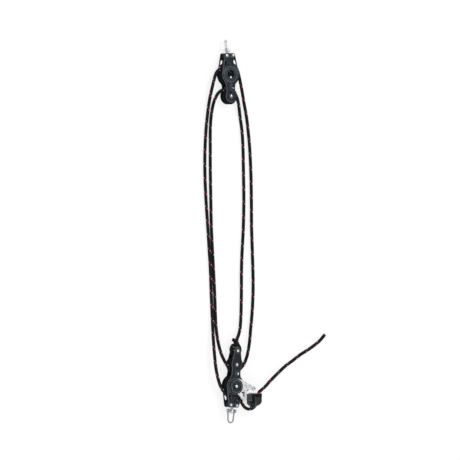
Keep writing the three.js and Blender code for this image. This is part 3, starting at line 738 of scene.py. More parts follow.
@dataclass(frozen=True)
class BraidedPolyester:
    """Polyester double braid: black yarns crossing in a plait, with pairs of red tracer flecks."""

    name: str = "polyester_braided"
    dark: str = "#040607"
    light: str = "#171c1f"
    red: str = "#b8404c"
    pink: str = "#dc9aa4"
    # one pair of flecks to each half turn of the tracer yarn
    fleck_every: float = 16.8
    fleck_along: float = 2.9
    fleck_round: float = -0.12
    fleck_half: float = 1.9
    # the knot's short end shows none
    fleck_start: float = 96

    def fleck_mask(self, skin: Skin, run: Socket, turned_by: Socket) -> Socket:
        """Returns 1 on a fleck and 0 beside it.

        Args:
            skin: The material.
            run: Length of rope up to a place, in millimetres.
            turned_by: Turn about the rope, from 0 to 1.
        Returns:
            The mask's socket.
        """
        count = skin.sum("ROUND", skin.sum("DIVIDE", run, self.fleck_every))
        rest = skin.sum("SUBTRACT", run, skin.sum("MULTIPLY", count, self.fleck_every))
        facing = skin.sum("MULTIPLY", skin.sum("FLOORED_MODULO", count, 2.0), 0.5)
        ahead = skin.sum("FRACT", skin.sum("ADD", skin.sum("SUBTRACT", turned_by, facing), 1.5))
        beside = skin.sum("SUBTRACT", ahead, 0.5)
        masks = []
        for sign in SIDES:
            off_run = skin.sum("DIVIDE", skin.sum("ADD", rest, sign * self.fleck_along), self.fleck_half)
            off_turn = skin.sum("ADD", beside, sign * self.fleck_round)
            off_round = skin.sum("MULTIPLY", off_turn, TURN * ROPE_RADIUS / self.fleck_half)
            squares = [skin.sum("MULTIPLY", off, off) for off in (off_run, off_round)]
            masks.append(skin.sum("SUBTRACT", 1.0, skin.sum("MINIMUM", skin.sum("ADD", *squares), 1.0)))
        fleck = skin.sum("MINIMUM", skin.sum("MULTIPLY", skin.sum("MAXIMUM", *masks), 3.5), 1.0)
        return skin.sum("MULTIPLY", fleck, skin.sum("GREATER_THAN", run, self.fleck_start))

    def material(self) -> bpy.types.Material:
        """Makes the material. The lay attribute holds the run in millimetres and the turn from 0 to 1.

        Returns:
            The material.
        """
        skin = Skin(self.name)
        lay = skin.add("Attribute", attribute_name="lay", attribute_type="GEOMETRY").outputs["Vector"]
        run, turned_by, _ = skin.add("SeparateXYZ", {0: lay}).outputs
        across = skin.sum("MULTIPLY", turned_by, float(STRANDS))
        along = skin.sum("DIVIDE", run, PLAIT)
        ridges = []
        for way in ("ADD", "SUBTRACT"):
            yarn = skin.sum("FRACT", skin.sum(way, across, along))
            ridges.append(skin.sum("SINE", skin.sum("MULTIPLY", yarn, math.pi)))
        weave = skin.sum("MULTIPLY", skin.sum("MULTIPLY", *ridges), 0.75)
        tone = skin.sum("ADD", weave, skin.sum("MULTIPLY", skin.noise(0.5, 3.0), 0.35))
        # colour follows the plait's relief: painted shade in the grooves between yarns and painted highlight
        # on their crowns, on black yarns and red flecks alike; the noise adds random tone
        black = skin.ramp(tone, (0.1, self.dark), (0.95, self.light))
        red = skin.ramp(tone, (0.15, self.red), (0.9, self.pink))
        return skin.finished(
            Base_Color=skin.mixed(self.fleck_mask(skin, run, turned_by), black, red),
            Normal=skin.bump(tone, 0.5, 0.4),
            Roughness=0.72, Specular_IOR_Level=0.12, Sheen_Weight=0.03, Sheen_Roughness=0.4,
        )


FINISHES = {
    Slot.NYLON: MouldedNylon(),
    Slot.ACETAL: TurnedAcetal(),
    Slot.STEEL: PolishedStainless(),
    Slot.WIRE: SpringWire(),
    Slot.RED: RedNylon(),
    Slot.ROPE: BraidedPolyester(),
}
made_materials: dict[Slot, bpy.types.Material] = {}


def material_for(slot: Slot) -> bpy.types.Material:
    """Returns the one material of a slot, made when it is first asked for.

    Args:
        slot: The slot.
    Returns:
        The material.
    """
    if slot not in made_materials:
        made_materials[slot] = FINISHES[slot].material()
    return made_materials[slot]


def make_piece(
    name: str, form: Form, slot: Slot, body: str | None, *nodes: str, sharp: float = 38
) -> bpy.types.Object:
    """Makes a piece from a form, dresses it and lets it ride on its body.

    Args:
        name: Name of the piece.
        form: Its form in millimetres, in the row's frame.
        slot: Its material slot.
        body: The body that it rides on, or None for a piece that runs between two bodies and rides on
            neither.
        nodes: CAD nodes that it stands for.
        sharp: Angle in degrees above which an edge stays sharp.
    Returns:
        The object.
    """
    mesh = mesh_of(name, form, MM)
    mesh.shade_smooth()
    mesh.set_sharp_from_angle(angle=math.radians(sharp))
    mesh.materials.append(material_for(slot))
    piece = linked(name, mesh)
    if body:
        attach(piece, body)
    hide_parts(*nodes)
    log.info("%s: %d faces on %s", name, len(mesh.polygons), body)
    return piece


# The scene around the tackle


@dataclass
class Studio:
    """Camera, ground and light."""

    pixels: int = 460
    mm_per_pixel: float = 2.38
    elevation: float = 55
    distance: float = 3.0
    aim: Vector = field(default_factory=lambda: Vector((-0.00357, 0.00174, 0)))
    floor_half: float = 20
    # how much of the floor's white doesn't depend on shadow, as on an overexposed paper sweep
    paper_share: float = 0.8
    sky: float = 0.85

    def camera(self) -> None:
        """Sets the camera on the -Y side, rolled so that +X points down in the picture."""
        lift = math.radians(self.elevation)
        back = Vector((0, -math.cos(lift), math.sin(lift)))
        right = Vector((0, math.sin(lift), math.cos(lift)))
        up = Vector((-1, 0, 0))
        data = bpy.data.cameras.new("camera")
        data.type = "ORTHO"
        data.ortho_scale = self.pixels * self.mm_per_pixel * MM
        camera = linked("camera", data)
        camera.matrix_world = Matrix((right, up, back)).transposed().to_4x4()
        camera.location = self.aim + back * self.distance
        bpy.context.scene.camera = camera

    def looking(self, nodes: Nodes) -> Socket:
        """Returns 1 for what the camera sees, also in metal or through glass, and 0 for what only lights.

        Args:
            nodes: The tree that asks.
        Returns:
            The socket.
        """
        rays = nodes.add("LightPath").outputs
        seen = nodes.sum("MAXIMUM", rays["Is Camera Ray"], rays["Is Glossy Ray"])
        return nodes.sum("MAXIMUM", seen, rays["Is Transmission Ray"])

    def ground(self) -> None:
        """Makes the pale floor. Camera and mirror rays see it as plain white where no shadow falls."""
        half = self.floor_half
        corners = [(-half, -half, 0), (half, -half, 0), (half, half, 0), (-half, half, 0)]
        mesh = bpy.data.meshes.new("ground")
        mesh.from_pydata(corners, [], [(0, 1, 2, 3)])
        skin = Skin("ground_paper_matt")
        speckle = skin.add("TexNoise", {"Scale": 25.0, "Detail": 3.0}).outputs["Fac"]
        material = skin.finished(
            Base_Color=skin.ramp(speckle, (0.3, "#fafafa"), (0.7, "#ffffff")),
            Roughness=0.9, Specular_IOR_Level=0.0,
        )
        share = skin.sum("MULTIPLY", self.looking(skin), self.paper_share)
        paper = skin.add("Emission", {"Color": linear("#ffffff"), "Strength": 1.0})
        mix = skin.add("MixShader", {0: share, 1: skin.surface.outputs[0], 2: paper.outputs[0]})
        skin.fill(skin.tree.nodes["Material Output"], {"Surface": mix.outputs[0]})
        mesh.materials.append(material)
        linked("ground", mesh)

    def lamp(self, name: str, place: tuple, size: float, watts: float) -> None:
        """Hangs a square soft lamp that looks at the middle of the tackle.

        Args:
            name: Name of the lamp.
            place: Where it hangs, in metres.
            size: Its side in metres.
            watts: Its strength.
        """
        data = bpy.data.lights.new(name, "AREA")
        data.size = size
        data.energy = watts
        lamp = linked(name, data)
        lamp.location = place
        lamp.rotation_euler = (-Vector(place)).to_track_quat("-Z", "Y").to_euler()

    def light(self) -> None:
        """Sets the world and the lamps."""
        world = bpy.data.worlds.new("studio")
        bpy.context.scene.world = world
        world.use_nodes = True
        nodes = Nodes(world.node_tree)
        strength = nodes.sum("MULTIPLY_ADD", self.looking(nodes), 1 - self.sky, self.sky)
        nodes.fill(nodes.tree.nodes["Background"], {"Color": linear("#ffffff"), "Strength": strength})
        self.lamp("key_lamp", (-1.5, 0.9, 2.4), 0.7, 22)
        self.lamp("fill_lamp", (1.6, -1.4, 1.8), 0.9, 10)
        bpy.context.scene.view_settings.view_transform = "Standard"

    def build(self) -> None:
        """Builds camera, ground and light."""
        self.camera()
        self.ground()
        self.light()


# The rope


@dataclass(frozen=True)
class Berth:
    """Where a block lies: its large axle, the lean of its line in degrees and the height of its mid-plane."""

    name: str
    x: float
    y: float
    lean: float
    z: float

    def place(self) -> Matrix:
        """Returns the block's own frame."""
        return shift(self.x, self.y, self.z) @ turn(self.lean, "Z")

    def wrap(self, distance: float, seat: float, start: float, end: float) -> np.ndarray:
        """Returns the rope's arc on a sheave.

        Args:
            distance: Distance of the sheave's axle from the large one.
            seat: Radius of the rope's seat.
            start: First angle in degrees from +X towards +Y.
            end: Last angle.
        Returns:
            The path, with a point about every millimetre.
        """
        lean = math.radians(self.lean)
        count = max(2, round(seat * math.radians(end - start)) + 1)
        angles = np.radians(np.linspace(start, end, count))
        x = self.x + distance * math.cos(lean) + seat * np.cos(angles)
        y = self.y + distance * math.sin(lean) + seat * np.sin(angles)
        return np.column_stack([x, y, np.full(count, self.z)])


UPPER = Berth("upper", -374.4, -12.5, 1.8, BLOCK_HALF)
LOWER = Berth("lower", 368.7, -1.8, 175.0, LOWER_HALF)
CLEAT_ENTRY = (LOWER.x + 40, LOWER.y + CLEAT_AXIS, LOWER.z)

# Rope routes, listed as the solids have them. Points without a height lie on the ground.
FALLS = [
    [
        (254.5, 11.4, 15.4), (249, 16, 13.4), (234, 24, 9), (204, 29.5, 5.4), (170, 31.5), (137, 32),
        (102, 32), (66, 33), (32, 35), (-8, 37.5), (-70, 39), (-138, 38), (-210, 36), (-243, 33),
        (-276, 27, 5), (-300, 20, 10), (-317, 13.8, 12.4),
    ],
    [
        (-337, -29, 12.5), (-330, -39.5, 11.4), (-317, -47.5, 9.4), (-300, -52.5, 6.8), (-272, -56.5, 4.6),
        (-241, -58.5), (-199, -58.5), (-158, -58.5), (-76, -57), (-14, -55.5), (40, -52.5), (86, -49.5),
        (154, -45.5), (191, -44.5, 5), (224, -44.5, 7.6), (259, -42, 11.6), (290, -35, 15.4),
        (310, -25, 17),
    ],
    [
        (318, 28.5, 17), (298, 39.5, 15.8), (266, 49.5, 12), (232, 56, 8.2), (197, 62, 5.2), (164, 65),
        (133, 66), (98, 65.5), (30, 63), (-8, 61.5), (-70, 61), (-138, 59.5), (-204, 55.5),
        (-237, 51.5, 4.6), (-272, 45.5, 6), (-306, 36, 9), (-340, 27, 11.8), (-366, 20, 12.5),
        (-379, 16.3, 12.5),
    ],
    [
        (-378, -46.5, 12.5), (-339, -58.5, 10.6), (-304, -64.5, 7), (-274, -67.5, 4.8), (-251, -70),
        (-220, -72.5), (-189, -74), (-138, -74), (-76, -71), (-14, -66), (40, -62), (86, -58.5),
        (154, -55.5), (191, -54, 5), (224, -54, 7.6), (259, -54.5, 11.4), (294, -54, 15.4),
        (328, -50.5, 17), (361, -41, 17), (377.5, -31.5, 17),
    ],
]
LEAD = [
    (395.4, 7, 17), (396.8, 13, 17), (401.5, 19.2, 17), (408.5, 24.4, 17), (415.5, 29.6, 17),
    (420.6, 36.5, 17), (422.6, 44.5, 17), (421.8, 51.5, 17), (419.3, 57.6, 17), (416.2, 61.4, 17),
]
TAIL = [
    (396.4, 64, 17), (393.8, 64.7, 17.4), (391, 66.1, 18.9), (388.4, 67.9, 21.2), (386, 69, 22.4),
    (384.2, 69.5, 22.9), (382.4, 70, 23.1), (380.6, 71.6, 23.1), (377.8, 76.6, 22.3), (373.2, 84.8, 19.8),
    (365.4, 97.3, 15.6), (357.7, 108.1, 11.6), (339.6, 132.4, 7.8), (321.5, 157, 5.6), (306.8, 181.2, 4.6),
    (293, 203.4), (280.1, 228), (262, 256.8), (245.1, 274.8),
]
# half the becket loop from the knot to its turn round the pin, along the block and across it from the pin
LOOP_HALF = [(16.5, 4.5), (12.5, 9), (7, 12.2), (1, 13), (-4.5, 10.4), (-7.8, 5.8)]


class Role(Enum):
    """What a stretch of rope does."""

    WOUND = "wound"
    LEAD = "lead"
    FALL = "fall"
    TAIL = "tail"


@dataclass
class Stretch:
    """One stretch of the rope's middle line, its CAD node and its body."""

    name: str
    path: np.ndarray
    node: str
    body: str
    role: Role = Role.WOUND


@dataclass
class Rope:
    """The rope from the becket knot round the four sheaves to its sealed end."""

    step: float = 1.0
    sides: int = 24
    relief: float = 0.22
    travel: float = 450
    knot_reach: float = 21
    loop_turn: float = 8
    wraps: int = 13
    wrap_start: float = 50
    wrap_turn: float = 44
    wrap_pitch: float = 1.08
    wrap_radius: float = 4.0
    # how far the sealed end is rounded, and the length over which it would be rounded to nothing
    seal: float = 1.6
    seal_reach: float = 1.7
    # the side of the rope at which its turn is 0
    facing: Vector = field(default_factory=lambda: Vector((0, -0.5736, 0.8192)))

    def knot_path(self) -> np.ndarray:
        """Returns the knot's middle line, from its short end round the pin to the first fall.

        Returns:
            Its points.
        """
        pin = AXLE_SPACING + BECKET_SPACING
        middle = pin + self.knot_reach
        points = [(middle + 5.4, 11.8, 0.4), (middle + 4, 7.4, 2.4)]
        for k in range(self.wraps):
            angle = math.radians(self.wrap_start + k * self.wrap_turn)
            across, up = self.wrap_radius * math.sin(angle), self.wrap_radius * math.cos(angle)
            points.append((middle + 3.6 - k * self.wrap_pitch, across, up))
        points += [(pin + x, y, 0) for x, y in LOOP_HALF[1:]]
        points.append((pin - self.loop_turn, 0, 0))
        points += [(pin + x, -y, 0) for x, y in reversed(LOOP_HALF)]
        points += [(middle - 1, -2.4, 0), (middle + 3, -1.6, 0), (middle + 6.5, -2.4, 0)]
        place = LOWER.place()
        return smooth_path([*(tuple(place @ Vector(p)) for p in points), FALLS[0][0]], self.step)

    def between(self, first: np.ndarray | None, points: list, last: np.ndarray) -> np.ndarray:
        """Returns the path that leaves one arc and meets the next straight on.

        Args:
            first: The arc before it, if there is one.
            points: Places on the way.
            last: The arc after it.
        Returns:
            The path.
        """
        straight = 5
        spots = list(points)
        if first is not None:
            ahead = first[-1] - first[-2]
            spots = [first[-1], first[-1] + ahead / np.linalg.norm(ahead) * straight, *spots]
        ahead = last[1] - last[0]
        spots += [last[0] - ahead / np.linalg.norm(ahead) * straight, last[0]]
        return smooth_path(spots, self.step)

    def stretches(self) -> list[Stretch]:
        """Lays out the rope's stretches in their order.

        Returns:
            The stretches.
        """
        wound = [
            ("upper_small", UPPER.wrap(AXLE_SPACING, SMALL_SEAT, 130, 192)),
            ("lower_small", LOWER.wrap(AXLE_SPACING, SMALL_SEAT, -55, 40)),
            ("upper_big", UPPER.wrap(0, BIG_SEAT, 130, 230)),
            ("lower_big", LOWER.wrap(0, BIG_SEAT, -45, 0)),
        ]
        result = [Stretch("knot", self.knot_path(), "rope_knot", "lower_block")]
        before = None
        for i, (points, (sheave, wrap)) in enumerate(zip(FALLS, wound), 1):
            fall = self.between(before, points, wrap)
            block = f"{sheave.split('_')[0]}_block"
            result.append(Stretch(f"fall_{i}", fall, f"rope_fall_{i}", "lower_block", Role.FALL))
            result.append(Stretch(f"over_{sheave}", wrap, f"rope_on_{sheave}", block))
            before = wrap
        entry = np.array([CLEAT_ENTRY, (CLEAT_ENTRY[0] - 5, *CLEAT_ENTRY[1:])])
        lead = self.between(before, LEAD, entry)
        tail = smooth_path([*entry, *TAIL], self.step)
        result.append(Stretch("lead", lead, "rope_lead", "lower_block", Role.LEAD))
        result.append(Stretch("tail", tail, "rope_tail", "cleat_arm", Role.TAIL))
        return result

    def braid(self, stretch: Stretch, run: float) -> tuple[Form, np.ndarray, float]:
        """Makes a stretch with the relief of its plait.

        Args:
            stretch: The stretch.
            run: Length of rope before it, in millimetres.
        Returns:
            The form, run and turn of each of its points, and the length of rope up to its end.
        """
        path = stretch.path
        runs = run + runs_along(path)
        ahead = directions(path)
        facing = np.array(self.facing)
        face = facing[None, :] - (ahead @ facing)[:, None] * ahead
        face /= np.linalg.norm(face, axis=1)[:, None]
        side = np.cross(ahead, face)
        turns = np.arange(self.sides) / self.sides
        across = turns[None, :] * STRANDS
        along = runs[:, None] / PLAIT
        one = np.abs(np.sin(np.pi * (across + along)))
        two = np.abs(np.sin(np.pi * (across - along)))
        over = (np.floor(across + along) + np.floor(across - along)) % 2
        height = np.where(over > 0, one, two) * 0.6 + one * two * 0.4
        radius = ROPE_RADIUS - self.relief + self.relief * height
        if stretch.role is Role.TAIL:
            left = runs[-1] - runs
            rounding = ((self.seal - left) / self.seal_reach) ** 2 * (left < self.seal)
            radius = radius * np.sqrt(np.clip(1 - rounding, 0.02, 1))[:, None]
        angle = turns[None, :, None] * TURN
        outwards = np.cos(angle) * face[:, None, :] + np.sin(angle) * side[:, None, :]
        points = path[:, None, :] + radius[:, :, None] * outwards
        lay = np.column_stack([np.repeat(runs, self.sides), np.tile(turns, len(path))])
        return lofted(points.reshape(-1, 3), self.sides), lay, float(runs[-1])

    def write_lay(self, piece: bpy.types.Object, lay: np.ndarray) -> None:
        """Writes run and turn at each corner, so that the seam keeps its turn.

        Args:
            piece: The stretch's object.
            lay: Run and turn of each point.
        """
        mesh = piece.data
        attribute = mesh.attributes.new("lay", "FLOAT_VECTOR", "CORNER")
        count = len(mesh.loops)
        corners = np.zeros(count, int)
        mesh.loops.foreach_get("vertex_index", corners)
        values = np.zeros((count, 3), np.float32)
        values[:, :2] = lay[corners]
        starts = np.zeros(len(mesh.polygons), int)
        totals = np.zeros(len(mesh.polygons), int)
        mesh.polygons.foreach_get("loop_start", starts)
        mesh.polygons.foreach_get("loop_total", totals)
        quads = starts[totals == 4][:, None] + np.arange(4)[None, :]
        turns = values[quads, 1]
        wraps = turns.max(axis=1) - turns.min(axis=1) > 0.5
        values[quads[wraps], 1] += (turns[wraps] < 0.5).astype(np.float32)
        attribute.data.foreach_set("vector", values.ravel())

    def build(self) -> None:
        run = 0.0
        for stretch in self.stretches():
            form, lay, run = self.braid(stretch, run)
            body = None if stretch.role is Role.LEAD else stretch.body
            piece = make_piece(f"rope_{stretch.name}_braid", form, Slot.ROPE, body, stretch.node, sharp=70)
            self.write_lay(piece, lay)
            if stretch.role is Role.FALL:
                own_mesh(piece)
            if stretch.role is Role.LEAD:
                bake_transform(piece)
        log.info("rope: %.0f mm in all", run)


# The blocks


@dataclass
class FiddleBlock:
    """A block with a large and a small sheave in one pair of cheeks, its swivel and its shackle."""

    berth: Berth
    becket: bool = False
    shackle_length: float = 22.5
    shackle_roll: float = 22
    shackle_lean: float = 11.3
    bow_radius: float = 2.6
    bow_finish: Slot = Slot.STEEL
    bow_half: float = 9
    bow_taper: float = 0.14
    # inner radius, outer radius and half the thickness
    ear: tuple[float, float, float] = (2.8, 4.5, 2.25)
    eye: tuple[float, float, float] = (3, 7, 2.5)
    eye_x: float = -58.5
    head_start: float = -50
    head_stop: float = -38.5
    head_corner: float = 4.6
    head_half: float = 15
    panel_inset: float = 1.3
    hub_radius: float = 24.5
    lobe_radius: float = 15.5
    becket_radius: float = 9
    outline_corner: float = 2.2
    waist_angle: float = 48
    lobe_angle: float = 112
    waist_pull: float = 9
    sleeve_end: float = 11.5
    sleeve_race: float = 13.2
    sleeve_bore: float = 9.5
    arm_bore: float = 4.3
    lug_x: float = 7.9
    collar: tuple[float, float] = (3.4, 5.6)
    dot_radius: float = 1.35
    ball_pitch: float = 16
    ball_radius: float = 2.5
    ball_count: int = 14
    pin_hole: float = 2.9
    rivet_hole: float = 2.3
    rivet_x: float = -45
    rivet_y: float = 9
    rivet_head: float = 3.1
    axle_radius: float = 2.6

    def outline(self, inset: float) -> list[Point]:
        """Returns the cheek's edge.

        Args:
            inset: How far inside the real edge it runs.
        Returns:
            The outline.
        """
        end, half = -self.head_start - inset, self.head_half - inset
        hub, lobe = self.hub_radius - inset, self.lobe_radius - inset
        tangent = 180 - math.degrees(math.atan2(half, end) + math.acos(hub / math.hypot(end, half)))
        corner = self.head_corner - inset
        side = arc(-end + corner, half - corner, corner, 180, 100, 20)
        side += arc(0, 0, hub, tangent, self.waist_angle)
        start, stop = side[-1], arc(AXLE_SPACING, 0, lobe, self.lobe_angle, self.lobe_angle - 1)[0]
        waist, swell = math.radians(self.waist_angle), math.radians(self.lobe_angle)
        pull = self.waist_pull
        first = (start[0] + pull * math.sin(waist), start[1] - pull * math.cos(waist))
        last = (stop[0] - pull * math.sin(swell), stop[1] + pull * math.cos(swell))
        side += bezier([start, first, last, stop], 12)[1:-1]
        leave = 0.0
        if self.becket:
            leave = math.degrees(math.acos((self.lobe_radius - self.becket_radius) / BECKET_SPACING))
        side += arc(AXLE_SPACING, 0, lobe, self.lobe_angle, leave)
        if self.becket:
            side += arc(AXLE_SPACING + BECKET_SPACING, 0, self.becket_radius - inset, leave, 0)
        return rounded(with_mirror(side, 1), self.outline_corner)

    def pins(self) -> list[float]:
        """Returns the places of the pins behind the large axle."""
        return [AXLE_SPACING, AXLE_SPACING + BECKET_SPACING] if self.becket else [AXLE_SPACING]

    def openings(self, near: bool) -> list[list[Point]]:
        """Returns a cheek's holes and slots.

        Args:
            near: Whether it is the cheek with the waist slot.
        Returns:
            Their outlines.
        """
        holes = [circle(0, 0, self.sleeve_end + TOUCH_GAP, 64)]
        holes += [circle(x, 0, self.pin_hole, 24) for x in self.pins()]
        holes += [circle(self.rivet_x, side * self.rivet_y, self.rivet_hole, 24) for side in SIDES]
        holes += [slot_outline(side, (-24, 13.8), (-30.4, 11.8), 3.2) for side in SIDES]
        if near and self.becket:
            holes.append(slot_outline(1, (30, -6.4), (36, -6.4), 2.3))
        elif near:
            holes.append(slot_outline(1, (34, 6.6), (36.2, 6.6), 2.5))
        dots = ring_places(self.ball_count, self.ball_pitch)
        return holes + [circle(x, y, self.dot_radius, 14) for x, y in dots]

    def cheek_form(self, near: bool) -> Form:
        """Returns a cheek as the near one lies: a plate, a raised panel and collars.

        Args:
            near: Whether it is the cheek with the waist slot.
        Returns:
            The form.
        """
        top = CHEEK_OUTER
        holes = self.openings(near)
        grooves = [slot_outline(side, (23.5, 2), (38, 2), 0.8) for side in SIDES]
        for side in SIDES:
            grooves.append(slot_outline(side, (-8, 19.6), (-2.5, 20.4), 0.9))
            grooves.append(slot_outline(side, (-46.5, 3.2), (-40.5, 3.2), 0.8))
            grooves.append(slot_outline(side, (-11.5, 17.4), (-16.5, 15.6), 1.2))
        form = plate(self.outline(0), holes, CHEEK_INNER, top - 0.9, 0.8)
        form += plate(self.outline(self.panel_inset), holes + grooves, top - 1.1, top, 0.3)
        form += washer(self.sleeve_end + TOUCH_GAP, 14.3, top - 2, top + 1.1, 0.6)
        form += washer(18.0, 19.0, top - 1, top + 0.45, 0.3)
        for x in self.pins():
            form += washer(*self.collar, top - 2, top + 0.9, 0.5).moved(shift(x))
        for side in SIDES:
            rivet = shift(self.rivet_x, side * self.rivet_y)
            form += washer(3.4, 4.6, top - 1, top + 0.5, 0.3).moved(rivet)
        return form

    def add(self, node: str, form: Form, slot: Slot, body: str = "block", name: str = "") -> None:
        """Makes a piece given in the block's own frame, with names that lack the block's.

        Args:
            node: The node that it stands for.
            form: Its form.
            slot: Its material slot.
            body: Its body.
            name: Its name, unless that is the node's with the word for its finish.
        """
        name = name or f"{node}_{PIECE_WORDS[slot]}"
        names = [f"{self.berth.name}_{word}" for word in (name, body, node)]
        make_piece(names[0], form.moved(self.berth.place()), slot, *names[1:])

    def cheeks(self) -> None:
        """Makes both cheeks and the head piece between them."""
        far = self.cheek_form(False).moved(turn(180, "X"))
        self.add("cheek_near", self.cheek_form(True), Slot.NYLON)
        self.add("cheek_far", far, Slot.NYLON)
        outline = box(self.head_start, self.head_stop, -BLOCK_HALF, BLOCK_HALF, 2.5)
        collar = washer(*self.collar, 0, 1.2, 0.4).moved(shift(self.head_start - 0.2) @ turn(90, "Y"))
        head = plate(outline, [], -HEAD_HALF, HEAD_HALF, 0.9) + collar
        self.add("head", head, Slot.NYLON)

    def rivet_form(self, shank: float, head: float, bush: float = 0) -> Form:
        """Returns a rivet with two dimpled heads.

        Args:
            shank: Radius of its shank.
            head: Radius of its heads.
            bush: Radius of the bush between the cheeks, if it has one.
        Returns:
            The form.
        """
        under, top = CHEEK_OUTER + TOUCH_GAP, BLOCK_HALF
        side = [(0, top), (head * 0.4, top - 0.05), (head * 0.75, top - 0.3), (head, under + 0.45)]
        side += [(head, under), (shank, under)]
        if bush:
            side += [(shank, HEAD_HALF), (bush, HEAD_HALF)]
        return turned(rounded(with_mirror(side), 0.25, 2, closed=False), 40)

    def fixings(self) -> None:
        """Makes the rivets, the small axle and the becket pin."""
        for i, side in enumerate(SIDES, 1):
            form = self.rivet_form(2, self.rivet_head).moved(shift(self.rivet_x, side * self.rivet_y))
            self.add(f"head_rivet_{i}", form, Slot.STEEL)
        for name, bush, x in zip(("small_axle", "becket_pin"), (5, 4), self.pins()):
            form = self.rivet_form(self.axle_radius, self.rivet_head, bush).moved(shift(x))
            self.add(name, form, Slot.STEEL)

    def hub(self) -> None:
        """Makes the hub sleeve: open with a riveted lug, or the pivot of the cleat arm."""
        end, race, top = self.sleeve_end, self.sleeve_race, BLOCK_HALF
        if self.becket:
            side, corner = [(self.arm_bore, 14.3), (7, 14.3), (7, top)], 0.35
        else:
            side, corner = [(self.sleeve_bore, top)], 0.5
        side += [(end, top), (end, HEAD_HALF), (race, HEAD_HALF)]
        self.add("hub_sleeve", turned(rounded(with_mirror(side), corner, 3)), Slot.NYLON)
        if self.becket:
            return
        lug = shift(self.lug_x)
        # painted shade: a thin dark, low-gloss acetal lining and end ring in the open bore make the bore read
        # as shaded; the bush round the lug's rivet is part of the same piece
        bore_shade_lining = washer(9.1, 9.6, -12.2, 12, 0.1) + washer(7.7, 9.6, -12.3, -11.3, 0.2)
        bore_shade_lining += washer(2.1, 3.5, -10.9, 10.9, 0.4).moved(lug)
        self.add("hub_sleeve", bore_shade_lining, Slot.ACETAL, name="hub_liner")
        self.add("hub_rivet", self.rivet_form(1.8, 2.8).moved(lug), Slot.STEEL)

    def sheave_form(self, rim: float, bore: float) -> Form:
        """Returns a sheave: a rope groove between two flanges with a step in each side.

        Args:
            rim: Radius of its flanges.
            bore: Radius of its bore.
        Returns:
            The form.
        """
        groove, half, step = ROPE_RADIUS + 0.8, 6.9, 0.8
        profile = [(bore, half), (rim * 0.72, half), (rim * 0.74, half - step), (rim - 2.2, half - step)]
        profile += [(rim - 2, half), (rim - 0.3, half), (rim, half - 0.4), (rim, groove + 0.9)]
        profile += arc(rim - 2, 0, groove, 90, 180, 15)
        return turned(with_mirror(profile, 1), 96)

    def sheaves(self) -> None:
        """Makes both sheaves and the ball race with its cage."""
        big = self.sheave_form(28.5, self.ball_pitch + self.ball_radius + TOUCH_GAP)
        self.add("big_sheave", big, Slot.ACETAL, "big")
        small = self.sheave_form(20, 5.3).moved(shift(AXLE_SPACING))
        self.add("small_sheave", small, Slot.ACETAL, "small")
        race = washer(15.25, 16.75, -1, 1, 0.3)
        ball = turned([(y, x) for x, y in arc(0, 0, self.ball_radius, 0, 180, 15)], 20)
        for x, y in ring_places(self.ball_count, self.ball_pitch):
            race += ball.moved(shift(x, y))
        self.add("ball_cage", race, Slot.ACETAL, "cage", "cage_race")

    def swivel_form(self) -> Form:
        """Makes the swivel: an eye for the shackle's pin on a flanged neck in the head.

        Returns:
            The form.
        """
        inner, outer, half = self.eye
        eye = washer(inner, outer, -half, half, 1.7, 6, 48).moved(shift(self.eye_x))
        neck = [(0, 8.4), (5.2, 8.2), (5.2, 6.4), (3, 6), (3, -0.3), (4.6, -0.3), (4.6, -1.5),
                (3.4, -2.4), (2.6, -3.6), (0, -3.6)]
        stem = turned(rounded(neck, 0.3, 3, closed=False), 40)
        return eye + stem.moved(shift(self.head_start) @ turn(90, "Y"))

    def bow_form(self) -> Form:
        """Makes the shackle's bow: two legs that draw together towards a round crown, with an ear each.

        Returns:
            The form.
        """
        half = self.bow_half
        straight = self.shackle_length - half
        leg = [(-straight * k / 4, 0, half) for k in range(4)]
        crown = [(-straight - x, 0, z) for z, x in arc(0, 0, half, 0, 180, 7.5)]
        spots = np.array(leg + crown + [(x, y, -z) for x, y, z in reversed(leg)], float)
        spots[:, 2] *= 1 - self.bow_taper * np.clip(-spots[:, 0] / straight, 0, 1)
        bow = tube(spots, self.bow_radius, 24)
        inner, outer, thick = self.ear
        for side in SIDES:
            bow += washer(inner, outer, -thick, thick, 0.9, 4, 40).moved(shift(z=side * half))
        return bow

    def shackle(self) -> None:
        """Makes the swivel, the bow and its slotted pin, which goes through the swivel's eye."""
        roll = turn(self.shackle_roll, "X")
        self.add("swivel", self.swivel_form().moved(roll), Slot.STEEL, "swivel")
        end = self.bow_half + self.ear[2]
        head = [(0, -end - 0.2), (2.2, -end - 0.2), (2.5, -end + 0.3), (2.5, end + 0.3), (4.2, end + 0.3),
                (4.2, end + 2.2), (3.8, end + 2.5), (0, end + 2.5)]
        pin = turned(rounded(head, 0.35, 3, closed=False), 40)
        cut = slot_outline(1, (-2.2, 0), (2.2, 0), 0.55)
        pin += plate(circle(0, 0, 3.9, 40), [cut], end + 2.3, end + 2.9, 0.15)
        place = roll @ shift(self.eye_x) @ turn(self.shackle_lean, "Z")
        bow = self.bow_form().moved(place)
        self.add("shackle_bow", bow, self.bow_finish, "shackle", "shackle_bow_steel")
        self.add("shackle_pin", pin.moved(place), Slot.STEEL, "shackle")

    def build(self) -> None:
        """Makes every piece of the block."""
        self.cheeks()
        self.fixings()
        self.hub()
        self.sheaves()
        self.shackle()


# The cleat arm


